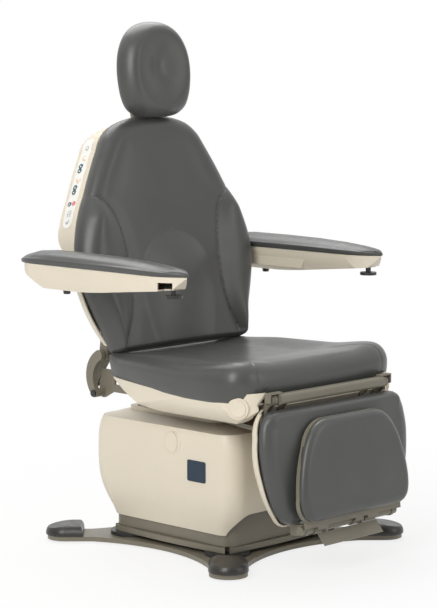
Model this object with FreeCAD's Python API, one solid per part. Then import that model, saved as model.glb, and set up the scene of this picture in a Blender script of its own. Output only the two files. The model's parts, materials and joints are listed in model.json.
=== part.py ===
import FreeCAD, Part
import math
import os

# Ophthalmic examination chair, in millimetres.
# Origin: on the floor, on the swivel axis. +Z is up and the chair faces -Y.
# The patient's right side is at -X. Paired pieces are mirrored about X = 0.

V = FreeCAD.Vector

# Driving dimensions of the whole chair
foot_reach = 330.0
glide_height = 4.0
base_plate_thickness = 12.0
turntable_bottom = 26.0
turntable_top = 40.0
skirt_bottom = 42.0
skirt_top = 80.0
shroud_bottom = 70.0
shroud_top = 330.0
shroud_wall = 4.0
lift_stroke = 250.0
seat_frame_bottom = 360.0
board_bottom = 412.0
board_thickness = 12.0
recline_axis_y = 226.0
recline_axis_z = 489.0
recline_range_deg = 70.0
legrest_axis_y = -358.0
legrest_axis_z = 435.0
legrest_lean_deg = 7.0
back_foot_y = 180.0
back_foot_z = 516.0
back_lean_deg = 11.0
back_height = 597.0
back_half_width = 311.0
headrest_centre_y = 270.0
headrest_centre_z = 1228.0
headrest_lean_deg = 5.0
headrest_half_width = 114.0
headrest_half_height = 124.0
headrest_travel = 120.0
arm_axis_y = 240.0
arm_axis_z = 697.0
arm_side_gap = 8.0
arm_half_width = 46.0
arm_joint_z = 737.0
link_crank = 100.0

# Clearances between pieces
slide_gap = 0.3
hinge_gap = 0.06
soft_gap = 0.3
open_pivot_gap = 0.5
slot_gap = 1.6
key_gap = 0.15
overrun = 40.0

base_plate_top = glide_height + base_plate_thickness
board_top = board_bottom + board_thickness

# Arm rests stand beside the back, on hubs that an axle through the back carries
hub_side_gap = 3.6
hub_sink = 1.0
stub_length = 25.0
axle_tube_inset = 11.0
journal_length = 150.0
arm_centre_x = back_half_width + arm_side_gap + arm_half_width
arm_inner_x = arm_centre_x - arm_half_width
hub_inner = back_half_width + hub_side_gap
hub_face = arm_inner_x + hub_sink
stub_end = hub_face + stub_length
axle_tube_half = back_half_width - axle_tube_inset
journal_start = axle_tube_half - journal_length


# Shape helpers

def block(low, high):
    size = high - low
    return Part.makeBox(size.x, size.y, size.z, low)


def rod(start, end, radius):
    along = end - start
    return Part.makeCylinder(radius, along.Length, start, along)


def rod_x(x_start, x_end, y, z, radius):
    return rod(V(x_start, y, z), V(x_end, y, z), radius)


def rod_z(x, y, z_start, z_end, radius):
    return rod(V(x, y, z_start), V(x, y, z_end), radius)


def fused(shapes):
    whole = shapes[0]
    for shape in shapes[1:]:
        whole = whole.fuse(shape)
    return whole.removeSplitter()


def mirrored(shape):
    return shape.mirror(V(0, 0, 0), V(1, 0, 0))


def both_sides(shape):
    return Part.makeCompound([shape, mirrored(shape)])


def closed_wire(start, steps, place):
    # A step of two numbers is a line's end; four are an arc's middle and end.
    edges = []
    here = place(*start)
    for step in steps:
        there = place(step[-2], step[-1])
        if len(step) == 2:
            edges.append(Part.LineSegment(here, there).toShape())
        else:
            middle = place(step[0], step[1])
            edges.append(Part.Arc(here, middle, there).toShape())
        here = there
    first = place(*start)
    if (here - first).Length > hinge_gap:
        edges.append(Part.LineSegment(here, first).toShape())
    return Part.Wire(edges)


def prism_x(start, steps, x_low, x_high):
    wire = closed_wire(start, steps, lambda y, z: V(x_low, y, z))
    return Part.Face(wire).extrude(V(x_high - x_low, 0, 0))


def prism_y(start, steps, y_low, y_high):
    wire = closed_wire(start, steps, lambda x, z: V(x, y_low, z))
    return Part.Face(wire).extrude(V(0, y_high - y_low, 0))


def prism_z(start, steps, z_low, z_high):
    wire = closed_wire(start, steps, lambda x, y: V(x, y, z_low))
    return Part.Face(wire).extrude(V(0, 0, z_high - z_low))


def rounded_rectangle(half_x, y_front, y_rear, radius, z):
    corner = radius * (1 - math.sqrt(0.5))
    steps = [
        (half_x - radius, y_front),
        (half_x - corner, y_front + corner, half_x, y_front + radius),
        (half_x, y_rear - radius),
        (half_x - corner, y_rear - corner, half_x - radius, y_rear),
        (radius - half_x, y_rear),
        (corner - half_x, y_rear - corner, -half_x, y_rear - radius),
        (-half_x, y_front + radius),
        (corner - half_x, y_front + corner, radius - half_x, y_front),
    ]
    return closed_wire((radius - half_x, y_front), steps, lambda x, y: V(x, y, z))


def rounded_block(half_x, y_front, y_rear, radius, z_low, z_high):
    face = Part.Face(rounded_rectangle(half_x, y_front, y_rear, radius, z_low))
    return face.extrude(V(0, 0, z_high - z_low))


def loft(wires):
    return Part.makeLoft(wires, True, False)


def leaned(shape, lean_deg, y, z):
    # Tips a piece that was modelled upright at the origin, and carries it to its place.
    moved = shape.copy()
    moved.rotate(V(0, 0, 0), V(1, 0, 0), -lean_deg)
    moved.translate(V(0, y, z))
    return moved


def leaned_point(x, depth, height, lean_deg, y, z):
    lean = math.radians(lean_deg)
    return V(
        x,
        y + depth * math.cos(lean) + height * math.sin(lean),
        z + height * math.cos(lean) - depth * math.sin(lean),
    )


def on_back(shape):
    return leaned(shape, back_lean_deg, back_foot_y, back_foot_z)


def on_legrest(shape):
    return leaned(shape, legrest_lean_deg, legrest_axis_y, legrest_axis_z)


def on_headrest(shape):
    return leaned(shape, headrest_lean_deg, headrest_centre_y, headrest_centre_z)


def to_legrest(y, z):
    # Depth and height of a world point in the leg rest's own leaning frame.
    lean = math.radians(legrest_lean_deg)
    across = y - legrest_axis_y
    up = z - legrest_axis_z
    depth = across * math.cos(lean) - up * math.sin(lean)
    height = across * math.sin(lean) + up * math.cos(lean)
    return depth, height


def to_back(y, z):
    lean = math.radians(back_lean_deg)
    across = y - back_foot_y
    up = z - back_foot_z
    depth = across * math.cos(lean) - up * math.sin(lean)
    height = across * math.sin(lean) + up * math.cos(lean)
    return depth, height


# Linkage: equal cranks on the back and on the leg rest, joined by parallel links

crank_y = link_crank * math.sin(math.radians(recline_range_deg / 2))
crank_z = -link_crank * math.cos(math.radians(recline_range_deg / 2))
rear_pin_y = recline_axis_y + crank_y
rear_pin_z = recline_axis_z + crank_z
front_pin_y = legrest_axis_y + crank_y
front_pin_z = legrest_axis_z + crank_z
crank_pin_radius = 8.0
side_plate_inner = 205.0
side_plate_outer = 211.0
crank_inner = 199.0
crank_outer = 204.0
link_inner = 192.0
link_outer = 198.0
link_half_height = 6.0
link_eye_radius = 12.0
pivot_bolt_radius = 6.0


# Base: X-shaped floor plate on levelling glides

arm_half = 48.0
arm_straight_start = 350.0
arm_tip_round = arm_half
plate_waist = 225.0
plate_bore = 30.0
kink_round = 60.0
centre_foot_radius = 42.0
glide_inset = 51.7
glide_radius = 18.0
glide_stud_radius = 4.0
diagonal = math.sqrt(2)
plate_reach = foot_reach * diagonal
glide_place = plate_reach - glide_inset


def on_diagonal(along, across, quarter):
    # Point of an arm: along its middle line, and across it, for the arm in one quarter.
    angle = math.radians(45 + 90 * quarter)
    x = along * math.cos(angle) - across * math.sin(angle)
    y = along * math.sin(angle) + across * math.cos(angle)
    return x, y


def base_plate():
    start = on_diagonal(arm_straight_start, -arm_half, 0)
    steps = []
    for quarter in range(4):
        steps.append(on_diagonal(plate_reach - arm_tip_round, -arm_half, quarter))
        tip = on_diagonal(plate_reach, 0, quarter)
        steps.append(tip + on_diagonal(plate_reach - arm_tip_round, arm_half, quarter))
        steps.append(on_diagonal(arm_straight_start, arm_half, quarter))
        waist_angle = math.radians(90 + 90 * quarter)
        waist = (plate_waist * math.cos(waist_angle), plate_waist * math.sin(waist_angle))
        steps.append(waist + on_diagonal(arm_straight_start, -arm_half, quarter + 1))
    plate = prism_z(start, steps, glide_height, base_plate_top)
    kinks = []
    for edge in plate.Edges:
        middle = edge.CenterOfMass
        upright = abs(edge.BoundBox.ZLength - base_plate_thickness) < hinge_gap
        radius = math.hypot(middle.x, middle.y)
        target = math.hypot(arm_straight_start, arm_half)
        if upright and abs(radius - target) < 1 * hinge_gap:
            kinks.append(edge)
    plate = plate.makeFillet(kink_round, kinks)
    plate = plate.cut(rod_z(0, 0, 0, base_plate_top + overrun, plate_bore))
    plate = plate.fuse(rod_z(0, 0, 0, glide_height, centre_foot_radius))
    for quarter in range(4):
        x, y = on_diagonal(glide_place, 0, quarter)
        plate = plate.cut(rod_z(x, y, 0, base_plate_top + overrun, glide_stud_radius + hinge_gap))
    return plate


def levelling_glides():
    glides = []
    for quarter in range(4):
        x, y = on_diagonal(glide_place, 0, quarter)
        foot = rod_z(x, y, 0, glide_height, glide_radius)
        stud = rod_z(x, y, glide_height, base_plate_top, glide_stud_radius)
        glides.append(fused([foot, stud]))
    return Part.makeCompound(glides)


cover_overhang = 4.3
cover_side_overhang = 2.0
cover_length = 99.0
cover_reach = plate_reach + cover_overhang
cover_half_width = arm_half + cover_side_overhang
cover_inner_end = cover_reach - cover_length
cover_height = 30.0
cover_tip_height = 17.0
cover_level_shares = (0, 0.5, 0.85, 1)
cover_inset_shares = (0, 0.06, 0.26, 0.62)


def foot_cover(quarter):
    wires = []
    for level_share, inset_share in zip(cover_level_shares, cover_inset_shares):
        inset = inset_share * cover_half_width
        half = cover_half_width - inset
        near = cover_inner_end + inset / 2
        shoulder = cover_reach - cover_half_width
        z = base_plate_top + level_share * cover_height
        start = on_diagonal(near, -half, quarter)
        steps = [
            on_diagonal(shoulder, -half, quarter),
            on_diagonal(cover_reach - inset, 0, quarter) + on_diagonal(shoulder, half, quarter),
            on_diagonal(near, half, quarter),
        ]
        wires.append(closed_wire(start, steps, lambda x, y: V(x, y, z)))
    dome = loft(wires)
    top = base_plate_top + cover_height
    tip = base_plate_top + cover_tip_height
    far = cover_reach + overrun
    wedge = prism_y(
        (cover_inner_end + cover_half_width / 2, top),
        [(cover_reach, tip), (far, tip), (far, top + overrun), (cover_inner_end, top + overrun)],
        -cover_half_width - overrun,
        cover_half_width + overrun,
    )
    wedge.rotate(V(0, 0, 0), V(0, 0, 1), 45 + 90 * quarter)
    return dome.cut(wedge)


def foot_covers():
    return Part.makeCompound([foot_cover(quarter) for quarter in range(4)])


# Turntable: slewing ring, swivel plate, skirt, shroud and lift mast

ring_outer = 180.0
ring_inner = 150.0
ring_split = 25.0
ring_groove = 3.0
upper_ring_outer = 178.0
plate_corner_half = 207.0
plate_middle_half = 217.0
pocket_radius = 183.0
pocket_roof = 32.0
notch_half_width = 6.0
notch_depth = 34.0
pad_place = 172.0
pad_radius = 57.5
pad_gap = 0.4


def ring(outer, inner, z_low, z_high):
    return rod_z(0, 0, z_low, z_high, outer).cut(rod_z(0, 0, z_low - overrun, z_high + overrun, inner))


def ball_groove():
    return Part.makeTorus((ring_outer + ring_inner) / 2, ring_groove, V(0, 0, ring_split))


def bearing_lower_ring():
    return ring(ring_outer, ring_inner, base_plate_top, ring_split).cut(ball_groove())


def bearing_upper_ring():
    body = ring(upper_ring_outer, ring_inner, ring_split + slide_gap, pocket_roof)
    return body.cut(ball_groove())


def swivel_plate():
    corner = plate_corner_half
    bow = plate_middle_half
    steps = [
        (0, -bow, corner, -corner),
        (bow, 0, corner, corner),
        (0, bow, -corner, corner),
        (-bow, 0, -corner, -corner),
    ]
    plate = prism_z((-corner, -corner), steps, turntable_bottom, turntable_top)
    plate = plate.cut(rod_z(0, 0, turntable_bottom - overrun, pocket_roof, pocket_radius))
    plate = plate.cut(rod_z(0, 0, turntable_bottom, turntable_top + overrun, plate_bore))
    reach = corner * diagonal
    for quarter in range(4):
        notch = block(
            V(reach - notch_depth, -notch_half_width, turntable_bottom - overrun),
            V(reach + overrun, notch_half_width, turntable_top + overrun),
        )
        notch.rotate(V(0, 0, 0), V(0, 0, 1), 45 + 90 * quarter)
        plate = plate.cut(notch)
    return plate


def slide_pads():
    pads = []
    for quarter in range(4):
        x, y = on_diagonal(pad_place * diagonal, 0, quarter)
        pads.append(rod_z(x, y, base_plate_top + pad_gap, turntable_bottom, pad_radius))
    return Part.makeCompound(pads)


skirt_half_x = 203.0
skirt_front = -208.0
skirt_rear = 215.0
skirt_corner = 38.0
skirt_wall = 3.5
skirt_flange = 16.0
skirt_flange_thickness = 4.0
arch_half_width = 200.0
arch_flat_half = 150.0
arch_height = 124.0
arch_knee_x = 188.0
arch_knee_z = 106.0
arch_margin = 8.0


def arch_prism(margin, y_low, y_high):
    low = shroud_bottom - margin
    steps = [
        (margin - arch_half_width, low),
        (-arch_knee_x - margin / 2, arch_knee_z + margin / 2, -arch_flat_half, arch_height + margin),
        (arch_flat_half, arch_height + margin),
        (arch_knee_x + margin / 2, arch_knee_z + margin / 2, arch_half_width - margin, low),
        (arch_half_width - margin, low - overrun),
    ]
    return prism_y((margin - arch_half_width, low - overrun), steps, y_low, y_high)


def lower_skirt():
    arch_top = arch_height + arch_margin
    outer = rounded_block(skirt_half_x, skirt_front, skirt_rear, skirt_corner, skirt_bottom, arch_top)
    inner = rounded_block(
        skirt_half_x - skirt_wall,
        skirt_front + skirt_wall,
        skirt_rear - skirt_wall,
        skirt_corner - skirt_wall,
        skirt_bottom - overrun,
        arch_top + overrun,
    )
    tube = outer.cut(inner)
    low_part = tube.common(
        block(
            V(-skirt_half_x, skirt_front, skirt_bottom),
            V(skirt_half_x, skirt_rear, skirt_top),
        )
    )
    front_part = tube.common(arch_prism(-arch_margin, skirt_front, skirt_front + skirt_corner))
    edge = skirt_half_x - skirt_wall / 2
    flange = rounded_block(
        edge,
        skirt_front + skirt_wall / 2,
        skirt_rear - skirt_wall / 2,
        skirt_corner - skirt_wall / 2,
        turntable_top,
        turntable_top + skirt_flange_thickness,
    )
    flange = flange.cut(
        rounded_block(
            edge - skirt_flange,
            skirt_front + skirt_flange,
            skirt_rear - skirt_flange,
            skirt_corner - skirt_flange,
            turntable_top - overrun,
            turntable_top + overrun,
        )
    )
    return fused([low_part, front_part, flange])


# Shroud sections: height, half width, front, rear, corner radius
shroud_sections = (
    (shroud_bottom, 208.0, -215.0, 222.0, 45.0),
    (105.0, 217.0, -228.0, 238.0, 47.0),
    (140.0, 225.0, -238.0, 255.0, 49.0),
    (200.0, 230.0, -245.0, 268.0, 50.0),
    (275.0, 230.0, -243.0, 268.0, 50.0),
    (shroud_top, 225.0, -228.0, 252.0, 48.0),
)
deck_edge_inset = 6.0
deck_crown = 10.0
deck_crown_inset = 60.0
lip_width = 14.0
lip_thickness = 4.0
lip_front = -190.0
riser_half_x = 140.0
riser_front = -105.0
riser_rear = 195.0
riser_corner = 20.0
riser_wall = 3.0
riser_gap = 1.0
collar_half_x = 152.0
collar_front = -118.0
collar_rear = 214.0
collar_corner = 28.0
collar_top = 350.0
side_cap_y = -35.0
side_cap_z = 292.0
side_cap_radius = 26.0
side_cap_proud = 1.2
side_cap_share = 0.72


def shroud_loft(inset, z_low, z_high):
    wires = []
    for z, half_x, front, rear, corner in shroud_sections:
        level = min(max(z, z_low), z_high)
        wires.append(
            rounded_rectangle(half_x - inset, front + inset, rear - inset, corner - inset, level)
        )
    return loft(wires)


def base_shroud():
    top = shroud_sections[-1]
    deck_low = rounded_rectangle(
        top[1] - deck_edge_inset,
        top[2] + deck_edge_inset,
        top[3] - deck_edge_inset,
        top[4] - deck_edge_inset,
        shroud_top,
    )
    deck_high = rounded_rectangle(
        top[1] - deck_crown_inset,
        top[2] + deck_crown_inset,
        top[3] - deck_crown_inset / 2,
        top[4] - deck_edge_inset,
        shroud_top + deck_crown,
    )
    deck = Part.makeLoft([deck_low, deck_high], True, True)
    collar = rounded_block(
        collar_half_x, collar_front, collar_rear, collar_corner, shroud_top, collar_top
    )
    shell = fused([shroud_loft(0, shroud_bottom, shroud_top), deck, collar])
    cavity = shroud_loft(shroud_wall, shroud_bottom, shroud_top - shroud_wall)
    below = rounded_block(
        shroud_sections[0][1] - shroud_wall,
        shroud_sections[0][2] + shroud_wall,
        shroud_sections[0][3] - shroud_wall,
        shroud_sections[0][4] - shroud_wall,
        shroud_bottom - overrun,
        shroud_bottom + slide_gap,
    )
    shell = shell.cut(cavity).cut(below)
    opening = rounded_block(
        riser_half_x + riser_gap,
        riser_front - riser_gap,
        riser_rear + riser_gap,
        riser_corner + riser_gap,
        shroud_top - overrun,
        collar_top + overrun,
    )
    shell = shell.cut(opening)
    shell = shell.cut(arch_prism(0, shroud_sections[3][2] - overrun, lip_front))
    lip = shroud_loft(shroud_wall / 2, shroud_bottom, shroud_top).common(
        block(
            V(-back_half_width, skirt_front + skirt_corner + slide_gap, skirt_top),
            V(back_half_width, back_half_width, skirt_top + lip_thickness),
        )
    )
    lip = lip.cut(
        rounded_block(
            skirt_half_x - lip_width,
            skirt_front,
            skirt_rear - lip_width,
            skirt_corner,
            skirt_top - overrun,
            skirt_top + overrun,
        )
    )
    return fused([shell, lip])


def side_cap():
    wall_x = shroud_sections[3][1]
    disc = rod_x(wall_x - shroud_wall, wall_x + side_cap_proud, side_cap_y, side_cap_z, side_cap_radius)
    stretch = FreeCAD.Matrix()
    stretch.scale(1, side_cap_share, 1)
    disc.translate(V(0, -side_cap_y, 0))
    disc = disc.transformGeometry(stretch)
    disc.translate(V(0, side_cap_y, 0))
    return disc.cut(shroud_loft(-slide_gap / 3, shroud_bottom, shroud_top))


def side_caps():
    return both_sides(side_cap())


badge_front = -154.0
badge_rear = -90.0
badge_low = 202.0
badge_high = 256.0
badge_corner = 5.0
badge_thickness = 1.6


def badge_plate():
    wall_x = shroud_sections[3][1]
    corner = badge_corner * (1 - math.sqrt(0.5))
    steps = [
        (badge_rear - badge_corner, badge_low),
        (badge_rear - corner, badge_low + corner, badge_rear, badge_low + badge_corner),
        (badge_rear, badge_high - badge_corner),
        (badge_rear - corner, badge_high - corner, badge_rear - badge_corner, badge_high),
        (badge_front + badge_corner, badge_high),
        (badge_front + corner, badge_high - corner, badge_front, badge_high - badge_corner),
        (badge_front, badge_low + badge_corner),
        (badge_front + corner, badge_low + corner, badge_front + badge_corner, badge_low),
    ]
    plate = prism_x(
        (badge_front + badge_corner, badge_low), steps, -wall_x - badge_thickness, shroud_wall - wall_x
    )
    return plate.cut(shroud_loft(-slide_gap / 3, shroud_bottom, shroud_top))


mast_half_x = 65.0
mast_half_y = 45.0
mast_wall = 5.0
mast_top = 325.0
mast_corner = 8.0
mast_foot_half_x = 90.0
mast_foot_half_y = 75.0
mast_foot_thickness = 8.0
middle_bottom = 60.0
middle_top = 335.0
seat_sleeve_bottom = 70.0
seat_flange_bottom = 352.0
seat_flange_half_x = 95.0
seat_flange_half_y = 80.0
motor_radius = 36.0
motor_top = 120.0
motor_tube_radius = 24.0
lift_rod_radius = 15.0
lift_rod_bottom = 48.0


def square_tube(half_x, half_y, wall, z_low, z_high):
    outer = rounded_block(half_x, -half_y, half_y, mast_corner, z_low, z_high)
    inner = rounded_block(
        half_x - wall,
        wall - half_y,
        half_y - wall,
        mast_corner - wall,
        z_low - overrun,
        z_high + overrun,
    )
    return outer.cut(inner)


def lift_mast():
    tube = square_tube(mast_half_x, mast_half_y, mast_wall, turntable_top, mast_top)
    foot = rounded_block(
        mast_foot_half_x,
        -mast_foot_half_y,
        mast_foot_half_y,
        mast_corner,
        turntable_top,
        turntable_top + mast_foot_thickness,
    )
    bore = rounded_block(
        mast_half_x - mast_wall,
        mast_wall - mast_half_y,
        mast_half_y - mast_wall,
        mast_corner - mast_wall,
        turntable_top - overrun,
        turntable_top + overrun,
    )
    return fused([tube, foot.cut(bore)])


def lift_actuator():
    motor = rod_z(0, 0, turntable_top, motor_top, motor_radius)
    tube = rod_z(0, 0, motor_top, mast_top, motor_tube_radius)
    bore = rod_z(0, 0, lift_rod_bottom - slide_gap, mast_top + overrun, lift_rod_radius + hinge_gap)
    return fused([motor, tube]).cut(bore)


def lift_rod():
    return rod_z(0, 0, lift_rod_bottom, seat_flange_bottom, lift_rod_radius)


def middle_sleeve():
    half_x = mast_half_x + slide_gap + mast_wall
    half_y = mast_half_y + slide_gap + mast_wall
    return square_tube(half_x, half_y, mast_wall, middle_bottom, middle_top)


def seat_sleeve():
    step = slide_gap + mast_wall
    half_x = mast_half_x + 2 * step
    half_y = mast_half_y + 2 * step
    tube = square_tube(half_x, half_y, mast_wall, seat_sleeve_bottom, seat_flange_bottom)
    flange = rounded_block(
        seat_flange_half_x,
        -seat_flange_half_y,
        seat_flange_half_y,
        mast_corner,
        seat_flange_bottom,
        seat_frame_bottom,
    )
    return fused([tube, flange])


def riser_tube(inset, z_low, z_high):
    outer = rounded_block(
        riser_half_x - inset, riser_front + inset, riser_rear - inset, riser_corner - inset, z_low, z_high
    )
    inset_inner = inset + riser_wall
    inner = rounded_block(
        riser_half_x - inset_inner,
        riser_front + inset_inner,
        riser_rear - inset_inner,
        riser_corner - inset_inner,
        z_low - overrun,
        z_high + overrun,
    )
    return outer.cut(inner)


middle_riser_top = 346.0
inner_riser_bottom = 75.0


def riser_floor(inset, z_low, z_high, hole_half_x, hole_half_y):
    plate = rounded_block(
        riser_half_x - inset, riser_front + inset, riser_rear - inset, riser_corner - inset, z_low, z_high
    )
    hole = rounded_block(
        hole_half_x, -hole_half_y, hole_half_y, mast_corner, z_low - overrun, z_high + overrun
    )
    return plate.cut(hole)


def riser_middle():
    step = slide_gap + mast_wall
    walls = riser_tube(0, middle_bottom, middle_riser_top)
    floor = riser_floor(
        0, middle_bottom, middle_bottom + riser_wall, mast_half_x + step, mast_half_y + step
    )
    return fused([walls, floor])


def riser_inner():
    inset = riser_wall + riser_gap
    step = 2 * (slide_gap + mast_wall)
    walls = riser_tube(inset, inner_riser_bottom, seat_flange_bottom)
    roof = riser_floor(
        inset, seat_flange_bottom - riser_wall, seat_flange_bottom, mast_half_x + step, mast_half_y + step
    )
    return fused([walls, roof])


box_half_x = 80.0
box_front = -190.0
box_rear = -112.0
box_top = 150.0
box_corner = 6.0


def control_box():
    return rounded_block(box_half_x, box_front, box_rear, box_corner, turntable_top, box_top)


# Seat: welded frame, board, cushion, side covers and front hinge bar

rail_inner = 65.0
rail_outer = 85.0
rail_front = -170.0
rail_rear = 60.0
cross_height = 10.0
front_cross_y = -150.0
rear_cross_y = 5.0
cross_width = 40.0
lug_inner = 150.0
lug_outer = 158.0
frame_boss_radius = 15.0
bracket_bolt_y = 242.0
bracket_bolt_z = 388.0
bracket_bolt_radius = 5.0
bracket_boss_radius = 14.0
bracket_inner = 228.0
bracket_outer = 242.0
plate_rear_top = 450.0
plate_rear_step = 196.0
plate_rear_edge = 243.0
plate_low_mid = 384.0
plate_low_rear = 392.0
hinge_pin_radius = 7.0


def side_plate():
    axis_y = legrest_axis_y
    axis_z = legrest_axis_z
    boss = frame_boss_radius
    steps = [
        (plate_rear_step, board_bottom),
        (plate_rear_step, plate_rear_top),
        (plate_rear_edge, plate_rear_top),
        (bracket_bolt_y + bracket_boss_radius, bracket_bolt_z),
        (
            bracket_bolt_y,
            bracket_bolt_z - bracket_boss_radius,
            bracket_bolt_y - bracket_boss_radius,
            bracket_bolt_z - cross_height,
        ),
        (bracket_bolt_y - cross_width, plate_low_rear),
        (rear_cross_y, plate_low_rear),
        (front_cross_y, plate_low_mid),
        (axis_y + 2 * boss, axis_z - 2 * boss),
        (axis_y - boss, axis_z),
        (axis_y, axis_z + boss),
        (axis_y + boss, axis_z),
    ]
    plate = prism_x((axis_y + 2 * boss, board_bottom), steps, side_plate_inner, side_plate_outer)
    plate = plate.fuse(rod_x(side_plate_inner, side_plate_outer, axis_y, axis_z, boss))
    plate = plate.cut(
        rod_x(crank_inner, side_plate_outer + overrun, axis_y, axis_z, pivot_bolt_radius + hinge_gap)
    )
    return plate.cut(
        rod_x(
            crank_inner,
            side_plate_outer + overrun,
            bracket_bolt_y,
            bracket_bolt_z,
            bracket_bolt_radius + hinge_gap,
        )
    )


def seat_frame():
    cross_low = board_bottom - cross_height
    pieces = []
    for y in (front_cross_y, rear_cross_y):
        pieces.append(
            block(V(-side_plate_inner, y, cross_low), V(side_plate_inner, y + cross_width, board_bottom))
        )
    rail = block(V(rail_inner, rail_front, seat_frame_bottom), V(rail_outer, rail_rear, board_bottom))
    bar_rear = legrest_axis_y
    lug_steps = [
        (front_cross_y + cross_width, cross_low),
        (front_cross_y + cross_width, board_bottom),
        (bar_rear + cross_width, board_bottom),
        (bar_rear + cross_height, legrest_axis_z),
        (bar_rear, legrest_axis_z),
        (bar_rear, legrest_axis_z - frame_boss_radius + slide_gap),
        (bar_rear + cross_width / 2, cross_low),
    ]
    lug = prism_x((bar_rear + cross_width / 2, cross_low), lug_steps[:-1], lug_inner, lug_outer)
    for piece in (rail, lug, side_plate()):
        pieces.append(piece)
        pieces.append(mirrored(piece))
    return fused(pieces)


bar_half_length = 197.0
bar_depth = 22.0
bar_low = 423.0
bar_high = 449.0
bar_round = 9.0
clip_inner = 226.0
clip_outer = 229.5
clip_root = 186.0
clip_front = 14.0
clip_rear = 4.5
clip_low = 429.0
strap_low = 450.5
strap_high = 454.5
clip_round = 4.0


def bar_clip():
    # A strap over the pivot with a plate outside it.
    front = legrest_axis_y - clip_front
    rear = legrest_axis_y + clip_rear
    strap = block(V(clip_root, front, strap_low), V(clip_outer, legrest_axis_y, strap_high))
    foot = block(V(clip_root, front, bar_high - slide_gap), V(bar_half_length, legrest_axis_y, strap_high))
    plate = block(V(clip_inner, front, clip_low), V(clip_outer, rear, strap_high))
    corners = [edge for edge in plate.Edges if edge.BoundBox.YLength + edge.BoundBox.ZLength < hinge_gap]
    plate = plate.makeFillet(clip_round, corners)
    return fused([strap, foot, plate])


def front_hinge_bar():
    front = legrest_axis_y - bar_depth
    bar = block(V(-bar_half_length, front, bar_low), V(bar_half_length, legrest_axis_y, bar_high))
    edges = []
    for edge in bar.Edges:
        along = edge.BoundBox.XLength > bar_half_length
        if along and abs(edge.CenterOfMass.y - front) < hinge_gap:
            edges.append(edge)
    bar = bar.makeFillet(bar_round, edges)
    return fused([bar, bar_clip(), mirrored(bar_clip())])


arm_bow_y = 272.0
arm_bow_z = 441.0
arm_inner_y = 246.0
arm_inner_z = 437.0


def hinge_bracket():
    # Goose-neck arm that carries the back's pivot behind the seat cushion.
    top_y = recline_axis_y
    top_z = recline_axis_z
    boss = bracket_boss_radius
    low_y = bracket_bolt_y
    low_z = bracket_bolt_z
    reach = boss * math.sqrt(0.5)
    start = (top_y + reach, top_z + reach)
    steps = [
        (arm_bow_y, arm_bow_z, low_y + boss, low_z),
        (low_y - boss, low_z),
        (arm_inner_y, arm_inner_z, top_y - reach, top_z - reach),
    ]
    arm = prism_x(start, steps, bracket_inner, bracket_outer)
    arm = arm.fuse(rod_x(bracket_inner, bracket_outer, top_y, top_z, boss))
    arm = arm.fuse(rod_x(side_plate_outer, bracket_outer, low_y, low_z, boss - slide_gap * 10))
    arm = arm.cut(rod_x(side_plate_inner, bracket_outer + overrun, top_y, top_z, hinge_pin_radius + hinge_gap))
    bolt_hole = rod_x(
        side_plate_inner, bracket_outer + overrun, low_y, low_z, bracket_bolt_radius + hinge_gap
    )
    return arm.cut(bolt_hole).removeSplitter()


def hinge_brackets():
    return both_sides(hinge_bracket())


ear_inner = 213.0
ear_outer = 219.0
bolt_head = 5.0
bolt_head_radius = 9.0


def pivot_bolts():
    rear_shank = rod_x(
        side_plate_inner, bracket_outer, bracket_bolt_y, bracket_bolt_z, bracket_bolt_radius
    )
    rear_head = rod_x(
        bracket_outer, bracket_outer + bolt_head, bracket_bolt_y, bracket_bolt_z, bolt_head_radius
    )
    front_shank = rod_x(crank_inner, ear_outer, legrest_axis_y, legrest_axis_z, pivot_bolt_radius)
    front_head = rod_x(
        ear_outer + slide_gap,
        ear_outer + slide_gap + bolt_head,
        legrest_axis_y,
        legrest_axis_z,
        bolt_head_radius,
    )
    front_neck = rod_x(
        ear_outer, ear_outer + slide_gap, legrest_axis_y, legrest_axis_z, pivot_bolt_radius
    )
    rear = fused([rear_shank, rear_head])
    front = fused([front_shank, front_neck, front_head])
    return Part.makeCompound([rear, mirrored(rear), front, mirrored(front)])


board_half_x = 231.0
cushion_base_half = 252.0
board_front = -296.0
board_rear = 140.0
board_corner = 40.0


def seat_board():
    return rounded_block(
        board_half_x, board_front, board_rear, board_corner, board_bottom, board_top
    )


# Seat cushion outline in plan, from the rear corner to the front, as arcs
cushion_rear = 190.0
cushion_rear_half = 226.0
cushion_front = -345.0
cushion_arcs = (
    (250.0, 182.0, 257.0, 155.0),
    (284.0, 20.0, 301.0, -110.0),
    (308.0, -195.0, 306.0, -262.0),
    (299.0, -314.0, 250.0, -336.0),
)
# Cushion sections: height, inset from the outline
seat_sections = (
    (board_top, 22.0),
    (438.0, 14.0),
    (456.0, 3.0),
    (472.0, 0.0),
    (486.0, 6.0),
    (498.0, 28.0),
    (506.0, 80.0),
)


def seat_outline(inset, z):
    centre = (cushion_front + cushion_rear) / 2
    half = (cushion_rear - cushion_front) / 2
    share = (half - inset) / half

    def scaled(x, y):
        return x - inset, centre + (y - centre) * share

    steps = [scaled(cushion_rear_half, cushion_rear)]
    for arc in cushion_arcs:
        steps.append(scaled(arc[0], arc[1]) + scaled(arc[2], arc[3]))
    front = steps[-1]
    steps.append((0, cushion_front + inset, -front[2], front[3]))
    for index in range(len(cushion_arcs), 0, -1):
        middle = steps[index]
        end = steps[index - 1]
        steps.append((-middle[0], middle[1], -end[-2], end[-1]))
    start = steps[0]
    return closed_wire((-start[0], start[1]), steps, lambda a, b: V(a, b, z))


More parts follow.
